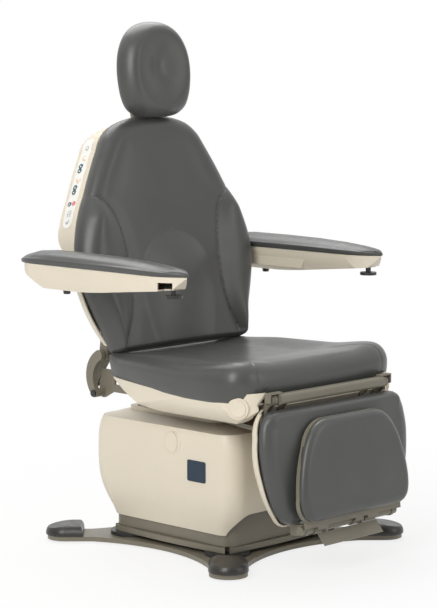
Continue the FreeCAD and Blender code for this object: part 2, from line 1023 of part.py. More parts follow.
def seat_cushion():
    body = loft([seat_outline(inset, z) for z, inset in seat_sections])
    skirt = cover_profile(-soft_gap, cushion_base_half, back_half_width + overrun)
    wall_inset = side_cover_wall + 2 * soft_gap
    wall = cover_envelope(-soft_gap).cut(cover_plan(wall_inset, 0, seat_sections[-1][0]))
    heel = block(
        V(side_cover_inner - soft_gap, cover_rear_y - wall_inset, side_cover_low),
        V(cover_rear_half + overrun, cover_rear_y + soft_gap, cover_rear_z + soft_gap),
    )
    toe = block(
        V(cover_tip_half - soft_gap, cover_tip_y, side_cover_low),
        V(cover_wide_half, cover_rise_y, cover_notch_z + wall_inset),
    )
    for cutter in (skirt, wall, heel, toe):
        body = body.cut(cutter).cut(mirrored(cutter))
    return body


side_cover_inner = 232.0
side_cover_waist = 274.0
side_cover_low = 370.0
side_cover_corner = 30.0
side_cover_wall = 3.5
# Plan of a side cover's outer face, from the rear to the front tip
cover_rear_y = 148.0
cover_wide_half = 295.0
cover_rear_step = 33.0
cover_mid_step = 12.0
cover_corner_step = 18.0
cover_tip_step = 73.0
cover_rear_half = cover_wide_half - cover_rear_step
cover_mid_half = cover_wide_half - cover_mid_step
cover_corner_half = cover_wide_half - cover_corner_step
cover_tip_half = cover_wide_half - cover_tip_step
cover_mid_y = 20.0
cover_wide_y = -120.0
cover_turn_y = -248.0
cover_corner_y = -310.0
cover_tip_y = -352.0
cover_rear_z = 444.0
cover_dip_y = -215.0
cover_dip_z = 427.0
cover_rise_y = -258.0
cover_rise_z = 446.0
cover_tip_z = 454.0
cover_cut_y = -318.0
cover_notch_y = -341.0
cover_notch_z = 424.0
cover_bump_y = -345.0
cover_bump_z = 411.0
nose_inner = 240.0
cover_keel_y = -210.0
cover_flank_y = 60.0
cover_flank_z = 398.0
cover_chin_y = -312.0
cover_chin_z = 385.0
post_radius = 6.0
post_places = ((-200.0, 398.0), (-40.0, 402.0))


def cover_profile(inset, x_low, x_high):
    low = side_cover_low + inset
    start = (cover_rear_y - inset, cover_rear_z - inset)
    steps = [
        (cover_dip_y, cover_dip_z - inset),
        (cover_rise_y + inset, cover_rise_z - inset),
        (cover_tip_y + inset, cover_tip_z - inset),
        (cover_notch_y + inset, cover_notch_z),
        (cover_bump_y + inset, cover_bump_z),
        (cover_chin_y, cover_chin_z + inset, cover_keel_y, low),
        (cover_flank_y, cover_flank_z + inset, cover_rear_y - inset, cover_rear_z - inset),
    ]
    return prism_x(start, steps, x_low, x_high)


def cover_front_profile(inset, y_low, y_high):
    half = cover_wide_half - inset
    waist = side_cover_waist - inset
    low = side_cover_low + inset
    steps = [
        (waist - side_cover_corner, low),
        (waist, low + side_cover_corner / 2, half, cover_dip_z),
        (half, cover_tip_z + overrun),
        (0, cover_tip_z + overrun),
    ]
    return prism_y((0, low), steps, y_low, y_high)


def cover_plan(inset, z_low, z_high):
    steps = [
        (cover_mid_half - inset, cover_mid_y, cover_wide_half - inset, cover_wide_y),
        (cover_wide_half - inset, cover_turn_y),
        (
            cover_corner_half - inset,
            cover_corner_y + inset,
            cover_tip_half - inset / 2,
            cover_tip_y + inset,
        ),
        (0, cover_tip_y + inset),
        (0, cover_rear_y - inset),
    ]
    return prism_z((cover_rear_half - inset, cover_rear_y - inset), steps, z_low, z_high)


def cover_envelope(inset):
    body = cover_profile(inset, side_cover_inner - overrun, cover_wide_half + overrun)
    body = body.common(cover_front_profile(inset, cover_tip_y - overrun, cover_rear_y + overrun))
    return body.common(cover_plan(inset, 0, cover_tip_z + overrun))


def side_cover():
    body = block(V(side_cover_inner, cover_cut_y, 0), V(cover_wide_half, cover_rear_y, cover_tip_z))
    tip = block(V(cover_tip_half, cover_tip_y, cover_notch_z), V(cover_wide_half, cover_cut_y, cover_tip_z))
    nose = block(V(nose_inner, cover_tip_y, 0), V(cover_wide_half, cover_cut_y, cover_notch_z))
    outer = cover_envelope(0).common(fused([body, tip, nose]))
    wall = side_cover_wall
    inner = cover_profile(wall, 0, cover_wide_half)
    inner = inner.fuse(
        prism_x(
            (cover_rear_y - wall, cover_dip_z - wall),
            [
                (cover_rear_y - wall, cover_tip_z + overrun),
                (cover_tip_y + wall, cover_tip_z + overrun),
                (cover_tip_y + wall, cover_notch_z + wall),
                (cover_rise_y, cover_dip_z - wall),
            ],
            0,
            cover_wide_half,
        )
    )
    inner = inner.common(cover_front_profile(wall, cover_tip_y - overrun, cover_rear_y + overrun))
    inner = inner.common(cover_plan(wall, 0, cover_tip_z + 2 * overrun))
    shell = outer.cut(inner)
    posts = []
    for y, z in post_places:
        post = rod_x(side_plate_outer, cover_wide_half, y, z, post_radius)
        posts.append(post.common(cover_front_profile(wall / 2, y - overrun, y + overrun)))
    return fused([shell] + posts)


def seat_side_covers():
    return both_sides(side_cover())


cap_side_inset = 18.5
cap_set_back = 0.5
cap_x = cover_wide_half - cap_side_inset
cap_y = cover_corner_y + cap_set_back
cap_z = 416.0
cap_radius = 27.0
cap_boss_radius = 20.5
cap_depth = 14.0
cap_ring_proud = 5.0
cap_proud = 8.5
cap_dish = 2.0
cap_edge = 1.4
cap_turn = 0.83


def outer_rim(disc, centre, outward):
    places = [(edge.CenterOfMass - centre).dot(outward) for edge in disc.Edges]
    return [edge for edge, place in zip(disc.Edges, places) if place > max(places) - hinge_gap]


def pivot_caps():
    centre = V(cap_x, cap_y, cap_z)
    outward = V(cap_turn, -math.sqrt(1 - cap_turn * cap_turn), 0)
    ring = rod(centre - outward * cap_depth, centre + outward * cap_ring_proud, cap_radius)
    boss = rod(centre - outward * cap_depth, centre + outward * cap_proud, cap_boss_radius)
    disc = ring.makeChamfer(cap_edge, outer_rim(ring, centre, outward))
    disc = disc.fuse(boss.makeChamfer(cap_edge, outer_rim(boss, centre, outward)))
    dish_radius = (cap_boss_radius * cap_boss_radius / cap_dish + cap_dish) / 2
    disc = disc.cut(Part.makeSphere(dish_radius, centre + outward * (cap_proud - cap_dish + dish_radius)))
    disc = disc.cut(cover_envelope(-slide_gap / 3))
    whole = sorted(disc.Solids, key=lambda solid: (solid.CenterOfMass - centre).dot(outward))
    return both_sides(whole[-1])


# Recline actuator under the seat, and the slotted yoke that moves the rear crank pin

actuator_z = 380.0
actuator_radius = 19.9
actuator_front = -250.0
actuator_rear = 110.0
recline_rod_radius = 10.0
recline_rod_front = -60.0
yoke_half_width = 9.0
yoke_wall = 7.0
yoke_top = 418.0
recline_stroke = 2 * crank_y


def recline_actuator():
    body = rod(V(0, actuator_front, actuator_z), V(0, actuator_rear, actuator_z), actuator_radius)
    bore_front = recline_rod_front - recline_stroke - slide_gap
    bore = rod(
        V(0, bore_front, actuator_z),
        V(0, actuator_rear + overrun, actuator_z),
        recline_rod_radius + hinge_gap,
    )
    return body.cut(bore)


def recline_rod():
    slot_half = crank_pin_radius + slot_gap
    yoke_front = rear_pin_y - slot_half - yoke_wall
    yoke_rear = rear_pin_y + slot_half + yoke_wall
    bar = rod(
        V(0, recline_rod_front, actuator_z), V(0, yoke_front + slide_gap, actuator_z), recline_rod_radius
    )
    yoke_low = actuator_z - recline_rod_radius
    yoke = block(V(-yoke_half_width, yoke_front, yoke_low), V(yoke_half_width, yoke_rear, yoke_top))
    slot_low = recline_axis_z - link_crank - slot_half
    slot = block(
        V(-yoke_half_width - overrun, rear_pin_y - slot_half, slot_low),
        V(yoke_half_width + overrun, rear_pin_y + slot_half, yoke_top + overrun),
    )
    return fused([bar, yoke]).cut(slot)


def sync_link():
    y_front = front_pin_y
    z_front = front_pin_z
    y_rear = rear_pin_y
    z_rear = rear_pin_z
    steps = [
        (y_rear, z_rear - link_half_height),
        (y_rear, z_rear + link_half_height),
        (y_front, z_front + link_half_height),
    ]
    bar = prism_x((y_front, z_front - link_half_height), steps, link_inner, link_outer)
    bar = bar.fuse(rod_x(link_inner, link_outer, y_front, z_front, link_eye_radius))
    bar = bar.fuse(rod_x(link_inner, link_outer, y_rear, z_rear, link_eye_radius))
    front_hole = rod_x(
        link_inner - overrun, link_outer + overrun, y_front, z_front, crank_pin_radius + open_pivot_gap
    )
    rear_hole = rod_x(
        link_inner - overrun, link_outer + overrun, y_rear, z_rear, crank_pin_radius + hinge_gap
    )
    return bar.cut(front_hole).cut(rear_hole).removeSplitter()


def sync_links():
    return both_sides(sync_link())


# Back: frame, shell, cushion, control pod and keypad, in the back's own leaning frame

# Outline points as shares of the half width and of the height, from the lower corner up
back_corner_shares = (0.772, 0)
back_arc_shares = (
    (0.918, 0.134, 0.997, 0.285),
    (1.010, 0.360, 0.992, 0.444),
    (0.925, 0.560, 0.817, 0.665),
    (0.720, 0.760, 0.605, 0.862),
    (0.530, 0.922, 0.421, 0.962),
)
back_cushion_rear = 14.0
# Cushion sections: depth, inset from the outline
back_cushion_sections = (
    (back_cushion_rear, 12.0),
    (6.0, 3.0),
    (-8.0, 0.0),
    (-20.0, 5.0),
    (-31.0, 20.0),
    (-38.0, 52.0),
    (-42.0, 110.0),
)
back_shell_sections = (
    (back_cushion_rear + soft_gap, 3.0),
    (34.0, 8.0),
    (50.0, 22.0),
    (60.0, 52.0),
)
back_shell_wall = 3.5


def back_outline(inset, depth):
    def scaled(width_share, height_share):
        x = width_share * back_half_width - inset
        z = inset + height_share * (back_height - 2 * inset)
        return x, z

    x, z = scaled(*back_corner_shares)
    steps = [(x, z)]
    for share in back_arc_shares:
        steps.append(scaled(share[0], share[1]) + scaled(share[2], share[3]))
    top = back_height - inset
    last = steps[-1]
    steps.append((0, top, -last[2], last[3]))
    for index in range(len(back_arc_shares) - 1, -1, -1):
        middle = steps[index + 1]
        end = steps[index]
        steps.append((-middle[0], middle[1], -end[-2], end[-1]))
    return closed_wire((-x, z), steps, lambda a, b: V(a, depth, b))


def back_loft(sections, extra_inset, extra_depth):
    return loft([back_outline(inset + extra_inset, depth + extra_depth) for depth, inset in sections])


def back_cushion():
    return on_back(back_loft(back_cushion_sections, 0, 0))


pod_rear = 79.0
pod_top = 573.0
pod_shoulder_depth = 62.0
pod_shoulder_height = 557.0
pod_straight_top = 520.0
pod_straight_bottom = 330.0
pod_heel_depth = 70.0
pod_heel_height = 278.0
pod_foot_depth = 42.0
pod_foot_height = 252.0
pod_bottom = 240.0
pod_inset = 2.0
pod_thickness = 36.0
pod_inner_x = 128.0


def pod_profile(margin):
    front = back_cushion_rear + soft_gap - margin
    start = (front, pod_bottom - margin)
    steps = [
        (pod_foot_depth, pod_foot_height - margin),
        (pod_heel_depth + margin / 2, pod_heel_height - margin / 2, pod_rear + margin, pod_straight_bottom),
        (pod_rear + margin, pod_straight_top),
        (
            pod_shoulder_depth + margin / 2,
            pod_shoulder_height + margin / 2,
            front,
            pod_top + margin,
        ),
    ]
    return prism_x(start, steps, -back_half_width - overrun, margin - pod_inner_x)


def outline_band(inset_out, inset_in, depth_low, depth_high):
    outer = Part.Face(back_outline(inset_out, depth_low)).extrude(V(0, depth_high - depth_low, 0))
    inner = Part.Face(back_outline(inset_in, depth_low - overrun))
    return outer.cut(inner.extrude(V(0, depth_high - depth_low + 2 * overrun, 0)))


def control_pod():
    body = outline_band(pod_inset, pod_inset + pod_thickness, back_cushion_rear, pod_rear + overrun)
    body = body.common(pod_profile(0))
    return on_back(body)


def pod_space():
    outer = Part.Face(back_outline(-overrun, 0)).extrude(V(0, pod_rear + overrun, 0))
    inner = Part.Face(back_outline(pod_inset + pod_thickness + slide_gap, -overrun))
    band = outer.cut(inner.extrude(V(0, pod_rear + 3 * overrun, 0)))
    return band.common(pod_profile(slide_gap))


upright_inner = 90.0
upright_outer = 120.0
frame_front = back_cushion_rear + soft_gap
frame_rear = 40.0
upright_front = 20.0
frame_top = 545.0
low_cross_bottom = 20.0
low_cross_top = 50.0
mid_cross_bottom = 320.0
mid_cross_top = 345.0
top_cross_bottom = 510.0
top_cross_top = 538.0
hinge_plate_inner = 214.0
hinge_plate_outer = 222.0
hinge_plate_width = 34.0
torque_tube_radius = 12.0
axle_tube_radius = 10.0
journal_radius = 6.5
guide_half_x = 29.0
guide_front = 17.0
guide_rear = 38.0
guide_bottom = 290.0
post_half_x = 24.0
post_front = 21.0
post_rear = 33.0
post_bottom = 250.0
post_top = 684.0
shell_slot_half_x = 26.0
shell_slot_front = 19.0
shell_slot_rear = 35.0
shell_mouth_half_x = 226.0
shell_mouth_top = 14.0
axle_hole_gap = 2.0
plate_slot_gap = 2.0
plate_slot_top = 54.0
lock_height = 470.0
lock_stem_radius = 5.0


def back_frame():
    low_x = -hinge_plate_inner
    pieces = [
        block(V(low_x, frame_front, low_cross_bottom), V(-low_x, frame_rear, low_cross_top)),
        block(
            V(-upright_outer, frame_front, mid_cross_bottom), V(upright_outer, frame_rear, mid_cross_top)
        ),
        block(
            V(-upright_outer, frame_front, top_cross_bottom), V(upright_outer, frame_rear, top_cross_top)
        ),
        block(V(-guide_half_x, guide_front, guide_bottom), V(guide_half_x, guide_rear, frame_top)),
    ]
    upright = block(V(upright_inner, upright_front, low_cross_bottom), V(upright_outer, frame_rear, frame_top))
    pieces.append(upright)
    pieces.append(mirrored(upright))
    frame = on_back(fused(pieces))
    channel = block(
        V(-post_half_x - slide_gap, post_front - slide_gap, guide_bottom - overrun),
        V(post_half_x + slide_gap, post_rear + slide_gap, frame_top + overrun),
    )
    frame = frame.cut(on_back(channel))
    lock_hole = rod(
        V(0, post_rear, lock_height), V(0, frame_rear + overrun, lock_height), lock_stem_radius + hinge_gap
    )
    frame = frame.cut(on_back(lock_hole))
    low = leaned_point(0, (frame_front + frame_rear) / 2, low_cross_top, back_lean_deg, back_foot_y, back_foot_z)
    half = hinge_plate_width / 2
    steps = [
        (recline_axis_y + half, recline_axis_z),
        (low.y + half, low.z),
        (low.y - half * 0.75, low.z),
    ]
    plate = prism_x((recline_axis_y - half * 0.75, recline_axis_z), steps, hinge_plate_inner, hinge_plate_outer)
    plate = plate.fuse(
        rod_x(hinge_plate_inner, hinge_plate_outer, recline_axis_y, recline_axis_z, bracket_boss_radius)
    )
    pin = rod_x(hinge_plate_outer, bracket_outer, recline_axis_y, recline_axis_z, hinge_pin_radius)
    crank = prism_x(
        (recline_axis_y - bracket_boss_radius, recline_axis_z),
        [
            (rear_pin_y - link_eye_radius, rear_pin_z),
            (rear_pin_y + link_eye_radius, rear_pin_z),
            (recline_axis_y + bracket_boss_radius, recline_axis_z),
        ],
        crank_inner,
        crank_outer,
    )
    crank = crank.fuse(rod_x(crank_inner, crank_outer, recline_axis_y, recline_axis_z, bracket_boss_radius))
    crank = crank.fuse(rod_x(crank_inner, crank_outer, rear_pin_y, rear_pin_z, link_eye_radius))
    tube = rod_x(-hinge_plate_inner, hinge_plate_inner, recline_axis_y, recline_axis_z, torque_tube_radius)
    crank_pin = rod_x(-crank_outer, crank_outer, rear_pin_y, rear_pin_z, crank_pin_radius)
    arm_tube = rod_x(-axle_tube_half, axle_tube_half, arm_axis_y, arm_axis_z, axle_tube_radius)
    whole = fused(
        [frame, plate, mirrored(plate), pin, mirrored(pin), crank, mirrored(crank), tube, crank_pin, arm_tube]
    )
    bore = rod_x(
        journal_start - slide_gap,
        axle_tube_half + overrun,
        arm_axis_y,
        arm_axis_z,
        journal_radius + hinge_gap,
    )
    return whole.cut(bore).cut(mirrored(bore))


def back_shell():
    outer = back_loft(back_shell_sections, 0, 0)
    inner = back_loft(back_shell_sections, back_shell_wall, -back_shell_wall)
    shell = outer.cut(inner)
    mouth = block(
        V(-shell_mouth_half_x, 0, -overrun), V(shell_mouth_half_x, pod_rear, shell_mouth_top)
    )
    shell = shell.cut(mouth)
    plate_slot = block(
        V(hinge_plate_inner - plate_slot_gap, 0, -overrun),
        V(hinge_plate_outer + plate_slot_gap, pod_rear, plate_slot_top),
    )
    shell = shell.cut(plate_slot).cut(mirrored(plate_slot))
    slot = block(
        V(-shell_slot_half_x, shell_slot_front, frame_top),
        V(shell_slot_half_x, shell_slot_rear, back_height + overrun),
    )
    shell = shell.cut(slot)
    depth, height = to_back(arm_axis_y, arm_axis_z)
    hole = rod(
        V(-back_half_width - overrun, depth, height),
        V(back_half_width + overrun, depth, height),
        axle_tube_radius + axle_hole_gap,
    )
    shell = shell.cut(hole)
    lock_hole = rod(
        V(0, post_rear, lock_height), V(0, pod_rear, lock_height), lock_stem_radius + axle_hole_gap
    )
    shell = shell.cut(lock_hole).cut(pod_space())
    return on_back(shell)


keypad_depth = 48.0
keypad_half_width = 18.0
keypad_low = 319.0
keypad_high = 549.0
keypad_proud = 1.2
key_rest = 0.7
key_thickness = 1.3
rocker_lobe = 7.5
rocker_offset = 6.6
rocker_pivot_radius = 0.55
rocker_pivot_half = 3.0
round_key_radius = 6.5
recline_key_height = 472.0
lift_key_height = 417.0
round_key_height = 381.0
rocker_depth = 52.0
home_key_depth = 56.0
stop_key_depth = 40.0


def oblong(depth, low, high, radius, x_low, x_high):
    steps = [
        (depth, low, depth + radius, low + radius),
        (depth + radius, high - radius),
        (depth, high, depth - radius, high - radius),
    ]
    return prism_x((depth - radius, low + radius), steps, x_low, x_high)


def pod_wall_at(height):
    # Point and outward direction of the pod's side wall at one height, on the -X side.
    points = []
    for edge in back_outline(pod_inset, 0).Edges:
        points.extend(edge.discretize(40))
    left = [p for p in points if p.x < 0 and p.z > pod_bottom - overrun]
    left.sort(key=lambda p: p.z)
    for low, high in zip(left[:-1], left[1:]):
        if low.z <= height < high.z:
            share = (height - low.z) / (high.z - low.z)
            place = low + (high - low) * share
            along = high - low
            along.normalize()
            return place, V(-along.z, 0, along.x), along


def key_shape(depth, height, rocker, gap, low, high):
    place, outward, along = pod_wall_at(height)
    centre = V(place.x, depth, place.z)
    radius = (rocker_lobe if rocker else round_key_radius) + gap
    offsets = (-rocker_offset, rocker_offset) if rocker else (0,)
    lobes = []
    for offset in offsets:
        base = centre + along * offset + outward * low
        lobes.append(Part.makeCylinder(radius, high - low, base, outward))
    return fused(lobes)


key_places = (
    ("recline_key", rocker_depth, recline_key_height, True),
    ("lift_key", rocker_depth, lift_key_height, True),
    ("home_key", home_key_depth, round_key_height, False),
    ("stop_key", stop_key_depth, round_key_height, False),
)


def keypad_panel():
    band = outline_band(pod_inset - keypad_proud, pod_inset, back_cushion_rear, pod_rear)
    cut = oblong(keypad_depth, keypad_low, keypad_high, keypad_half_width, -back_half_width - overrun, 0)
    panel = band.common(cut)
    for name, depth, height, rocker in key_places:
        panel = panel.cut(key_shape(depth, height, rocker, key_gap, -overrun / 10, overrun / 10))
    return on_back(panel)


def key(depth, height, rocker):
    shape = key_shape(depth, height, rocker, 0, key_rest, key_rest + key_thickness)
    if rocker:
        place, outward, along = pod_wall_at(height)
        pivot = V(place.x, depth, place.z) + outward * key_rest
        reach = V(0, rocker_pivot_half, 0)
        shape = fused([shape, rod(pivot - reach, pivot + reach, rocker_pivot_radius)])
    return on_back(shape)


# Headrest: post, lock knob, rear cap and cushion

knuckle_height = 700.0
knuckle_radius = 11.0
knuckle_half_length = 18.0
lug_gap = 0.3
cap_lug_thickness = 8.0
cap_lug_radius = 12.0
lock_knob_radius = 20.0
lock_knob_front = 64.0
lock_knob_rear = 82.0
lock_lobes = 5
lock_lobe_radius = 6.0
post_depth = (post_front + post_rear) / 2


def headrest_post():
    bar = block(V(-post_half_x, post_front, post_bottom), V(post_half_x, post_rear, post_top))
    neck = block(
        V(-knuckle_half_length, post_front, post_top - knuckle_radius),
        V(knuckle_half_length, post_rear, knuckle_height),
    )
    knuckle = rod_x(-knuckle_half_length, knuckle_half_length, post_depth, knuckle_height, knuckle_radius)
    pin = rod_x(
        -knuckle_half_length - cap_lug_thickness - lug_gap,
        knuckle_half_length + cap_lug_thickness + lug_gap,
        post_depth,
        knuckle_height,
        knuckle_radius / 2,
    )
    return on_back(fused([bar, neck, knuckle, pin]))


def headrest_lock():
    stem = rod(
        V(0, post_rear + slide_gap, lock_height), V(0, lock_knob_front, lock_height), lock_stem_radius
    )
    knob = rod(
        V(0, lock_knob_front, lock_height), V(0, lock_knob_rear, lock_height), lock_knob_radius
    )
    for index in range(lock_lobes):
        angle = 2 * math.pi * index / lock_lobes
        x = lock_knob_radius * 1.1 * math.cos(angle)
        z = lock_height + lock_knob_radius * 1.1 * math.sin(angle)
        knob = knob.cut(rod(V(x, lock_knob_front - overrun, z), V(x, lock_knob_rear + overrun, z), lock_lobe_radius))
    return on_back(fused([stem, knob]))


# Headrest outline as shares of the half width and half height, clockwise from the upper left
headrest_shares = (
    (0, 1.0, 0.50, 0.887),
    (0.755, 0.720, 0.905, 0.452),
    (0.99, 0.177, 1.0, -0.113),
    (0.956, -0.403, 0.842, -0.629),
    (0.70, -0.790, 0.49, -0.903),
)
# Headrest sections: depth, inset
headrest_cushion_sections = (
    (16.0, 9.0),
    (8.0, 1.0),
    (-6.0, 0.0),
    (-20.0, 6.0),
    (-31.0, 20.0),
    (-37.0, 40.0),
)
headrest_cap_sections = (
    (16.0 + soft_gap, 7.0),
    (27.0, 12.0),
    (35.0, 28.0),
    (38.0, 52.0),
)
headrest_cap_wall = 3.0
dish_radius = 250.0
dish_depth = 9.0


def headrest_outline(inset, depth):
    width_share = (headrest_half_width - inset) / headrest_half_width
    height_share = (headrest_half_height - inset) / headrest_half_height

    def scaled(a, b):
        return a * width_share * headrest_half_width, b * height_share * headrest_half_height

    start = scaled(-headrest_shares[0][2], headrest_shares[0][3])
    steps = []
    for share in headrest_shares:
        steps.append(scaled(share[0], share[1]) + scaled(share[2], share[3]))
    last = steps[-1]
    steps.append((0, -headrest_half_height * height_share, -last[2], last[3]))
    for index in range(len(headrest_shares) - 1, 0, -1):
        middle = steps[index]
        end = steps[index - 1]
        steps.append((-middle[0], middle[1], -end[2], end[3]))
    return closed_wire(start, steps, lambda a, b: V(a, depth, b))


def headrest_loft(sections, extra_inset, extra_depth):
    return loft([headrest_outline(inset + extra_inset, depth + extra_depth) for depth, inset in sections])


def headrest_cushion():
    body = headrest_loft(headrest_cushion_sections, 0, 0)
    front = headrest_cushion_sections[-1][0]
    dish = Part.makeSphere(dish_radius, V(0, front - dish_radius + dish_depth, 0))
    return on_headrest(body.cut(dish))


def tilt_axis():
    return leaned_point(0, post_depth, knuckle_height, back_lean_deg, back_foot_y, back_foot_z)


def headrest_cap():
    outer = headrest_loft(headrest_cap_sections, 0, 0)
    inner = headrest_loft(headrest_cap_sections, headrest_cap_wall, -headrest_cap_wall)
    cap = on_headrest(outer.cut(inner))
    axis = tilt_axis()
    lug_low = knuckle_half_length + lug_gap
    lug_high = lug_low + cap_lug_thickness
    rear = leaned_point(
        0,
        headrest_cap_sections[-1][0] - headrest_cap_wall / 2,
        0,
        headrest_lean_deg,
        headrest_centre_y,
        headrest_centre_z,
    )
    lug = block(
        V(lug_low, rear.y, axis.z - cap_lug_radius), V(lug_high, axis.y, axis.z + cap_lug_radius)
    )
    lug = lug.fuse(rod_x(lug_low, lug_high, axis.y, axis.z, cap_lug_radius))
    lug = lug.cut(
        rod_x(lug_low - overrun, lug_high + overrun, axis.y, axis.z, knuckle_radius / 2 + hinge_gap)
    )
    return fused([cap, lug, mirrored(lug)])


# Armrests: level-keeping hub, hollow arm, pad, release lever and stop

# Plan of the arm: straight sides with rounded front and rear ends
arm_front = -226.0
arm_front_turn = -122.0
arm_rear = 360.0
arm_rear_turn = 292.0
end_round_share = 0.72
nose_round_share = 0.62
# Pad sections: height above the joint plane, inset from the plan
pad_sections = (
    (0.0, 3.0),
    (7.0, 0.0),
    (16.0, 1.0),
    (25.0, 6.0),
    (31.5, 15.0),
    (35.0, 28.0),
)
pad_nose_height = 5.0
pad_rise_y = -150.0
pad_rise_height = 24.5
pad_crest_y = -30.0
pad_crest_height = 35.0
pad_fall_y = 262.0
pad_heel_y = 325.0
pad_heel_height = 26.0
pad_tail_height = 9.0
arm_inset = 3.0
arm_wall = 3.0
arm_low = 676.0
arm_belly_z = 706.0
arm_belly_half = 41.0
arm_inner_belly_half = 38.5
arm_foot_half = 33.0
arm_inner_foot_half = 20.0
arm_keel_rear = 262.0
arm_keel_mid = 130.0
arm_keel_front = 0.0
arm_keel_front_z = 686.0
arm_nose_y = -194.0
arm_nose_z = 705.0
hub_radius = 23.0
stub_radius = 16.0
arm_boss_radius = 19.5
strip_sink = 4.0
strip_thickness = 11.0
strip_inner = arm_inner_x + strip_sink
strip_outer = strip_inner + strip_thickness
strip_front = 13.0
strip_rear = 226.0
strip_low = 689.0
strip_high = 712.0
strip_slant = 12.0
lever_y = -178.0
lever_stem_radius = 7.0
lever_travel = 6.0
paddle_radius = 22.0
paddle_low = 683.5
paddle_high = 691.0
lever_top = 722.0
crossbar_half_x = 7.0
crossbar_half_y = 16.0
crossbar_low = 708.0
crossbar_high = 715.0
notch_low = 698.0
notch_gap = 2.0
stop_offset = 7.0
stop_x = arm_centre_x + stop_offset
stop_y = 200.0
stop_low = 664.0
stop_top_radius = 11.0
stop_low_radius = 8.5


def arm_plan(inset, z):
    half = arm_half_width - inset
    front = arm_front + inset
    rear = arm_rear - inset
    turn = half * end_round_share
    nose = half * nose_round_share
    steps = [
        (half, arm_rear_turn),
        (turn, (arm_rear_turn + 2 * rear) / 3, 0, rear),
        (-turn, (arm_rear_turn + 2 * rear) / 3, -half, arm_rear_turn),
        (-half, arm_front_turn),
        (-nose, (arm_front_turn + 2 * front) / 3, 0, front),
        (nose, (arm_front_turn + 2 * front) / 3, half, arm_front_turn),
    ]
    return closed_wire((half, arm_front_turn), steps, lambda x, y: V(x + arm_centre_x, y, z))


def arm_pad():
    pad = loft([arm_plan(inset, arm_joint_z + height) for height, inset in pad_sections])
    steps = [
        (arm_front, arm_joint_z + pad_nose_height),
        (pad_rise_y, arm_joint_z + pad_rise_height, pad_crest_y, arm_joint_z + pad_crest_height),
        (pad_fall_y, arm_joint_z + pad_crest_height),
        (pad_heel_y, arm_joint_z + pad_heel_height, arm_rear, arm_joint_z + pad_tail_height),
        (arm_rear, arm_joint_z),
    ]
    low_x = arm_centre_x - arm_half_width
    return pad.common(prism_x((arm_front, arm_joint_z), steps, low_x, low_x + 2 * arm_half_width))


def arm_side_profile(inset, top):
    low = arm_low + inset
    steps = [
        (arm_rear - inset, arm_joint_z),
        (arm_rear - 3 * inset - arm_half_width, arm_belly_z + inset, arm_keel_rear - inset, low),
        (arm_keel_mid, low, arm_keel_front, arm_keel_front_z + inset),
        (arm_nose_y + inset, arm_nose_z + inset),
        (arm_front + inset, arm_joint_z),
        (arm_front + inset, top),
    ]
    x_low = arm_centre_x - arm_half_width
    return prism_x((arm_rear - inset, top), steps, x_low, x_low + 2 * arm_half_width)


def arm_front_profile(inset, top):
    half = arm_half_width - arm_inset - inset
    low = arm_low + inset
    centre = arm_centre_x
    steps = [
        (centre - half, arm_joint_z),
        (centre + inset - arm_inner_belly_half, arm_belly_z, centre + inset - arm_inner_foot_half, low),
        (centre + arm_foot_half - inset, low),
        (centre + arm_belly_half - inset, arm_belly_z, centre + half, arm_joint_z),
        (centre + half, top),
    ]
    return prism_y((centre - half, top), steps, arm_front, arm_rear)


def arm_body(inset, top):
    plan = Part.Face(arm_plan(arm_inset + inset, arm_low)).extrude(V(0, 0, top - arm_low))
    return plan.common(arm_side_profile(inset, top)).common(arm_front_profile(inset, top))


def arm_shell():
    top = arm_joint_z - soft_gap
    lid = block(
        V(arm_centre_x - arm_half_width, arm_front, top),
        V(arm_centre_x + arm_half_width, arm_rear, top + 2 * overrun),
    )
    shell = arm_body(0, arm_joint_z + overrun).cut(arm_body(arm_wall, arm_joint_z + overrun)).cut(lid)
    wall_x = arm_centre_x - arm_half_width + arm_inset
    boss = rod_x(wall_x + arm_wall / 2, stub_end, arm_axis_y, arm_axis_z, arm_boss_radius)
    strip = prism_x(
        (strip_front + strip_slant, strip_low),
        [(strip_rear, strip_low), (strip_rear, strip_high), (strip_front, strip_high)],
        strip_inner,
        strip_outer,
    )
    arm = fused([shell, boss, strip])
    arm = arm.cut(rod_x(hub_inner, stub_end + overrun / 10, arm_axis_y, arm_axis_z, stub_radius + hinge_gap))
    stem_top = arm_joint_z - 2 * arm_wall
    arm = arm.cut(
        rod_z(arm_centre_x, lever_y, paddle_low, stem_top, lever_stem_radius + slide_gap)
    )
    notch = block(
        V(arm_centre_x - crossbar_half_x - notch_gap, lever_y - crossbar_half_y - notch_gap, notch_low),
        V(
            arm_centre_x + arm_half_width,
            lever_y + crossbar_half_y + notch_gap,
            crossbar_high + lever_travel + notch_gap,
        ),
    )
    floor = block(
        V(arm_centre_x - arm_half_width, lever_y - crossbar_half_y - overrun, notch_low - overrun),
        V(
            arm_centre_x + crossbar_half_x * 2,
            lever_y + crossbar_half_y + overrun,
            crossbar_low - notch_gap,
        ),
    )
    return arm.cut(notch.cut(floor))


def arm_hub():
    # A journal in the back's cross tube, a disc beside the back and a stub that carries the arm.
    journal = rod_x(journal_start, hub_inner, arm_axis_y, arm_axis_z, journal_radius)
    disc = rod_x(hub_inner, hub_face - slide_gap, arm_axis_y, arm_axis_z, hub_radius)
    stub = rod_x(hub_face - slide_gap, stub_end, arm_axis_y, arm_axis_z, stub_radius)
    return fused([journal, disc, stub])


def arm_lever():
    stem = rod_z(arm_centre_x, lever_y, paddle_low, lever_top, lever_stem_radius)
    paddle = rod_z(arm_centre_x, lever_y, paddle_low, paddle_high, paddle_radius)
    crossbar = block(
        V(arm_centre_x - crossbar_half_x, lever_y - crossbar_half_y, crossbar_low),
        V(arm_centre_x + crossbar_half_x, lever_y + crossbar_half_y, crossbar_high),
    )
    return fused([stem, paddle, crossbar])


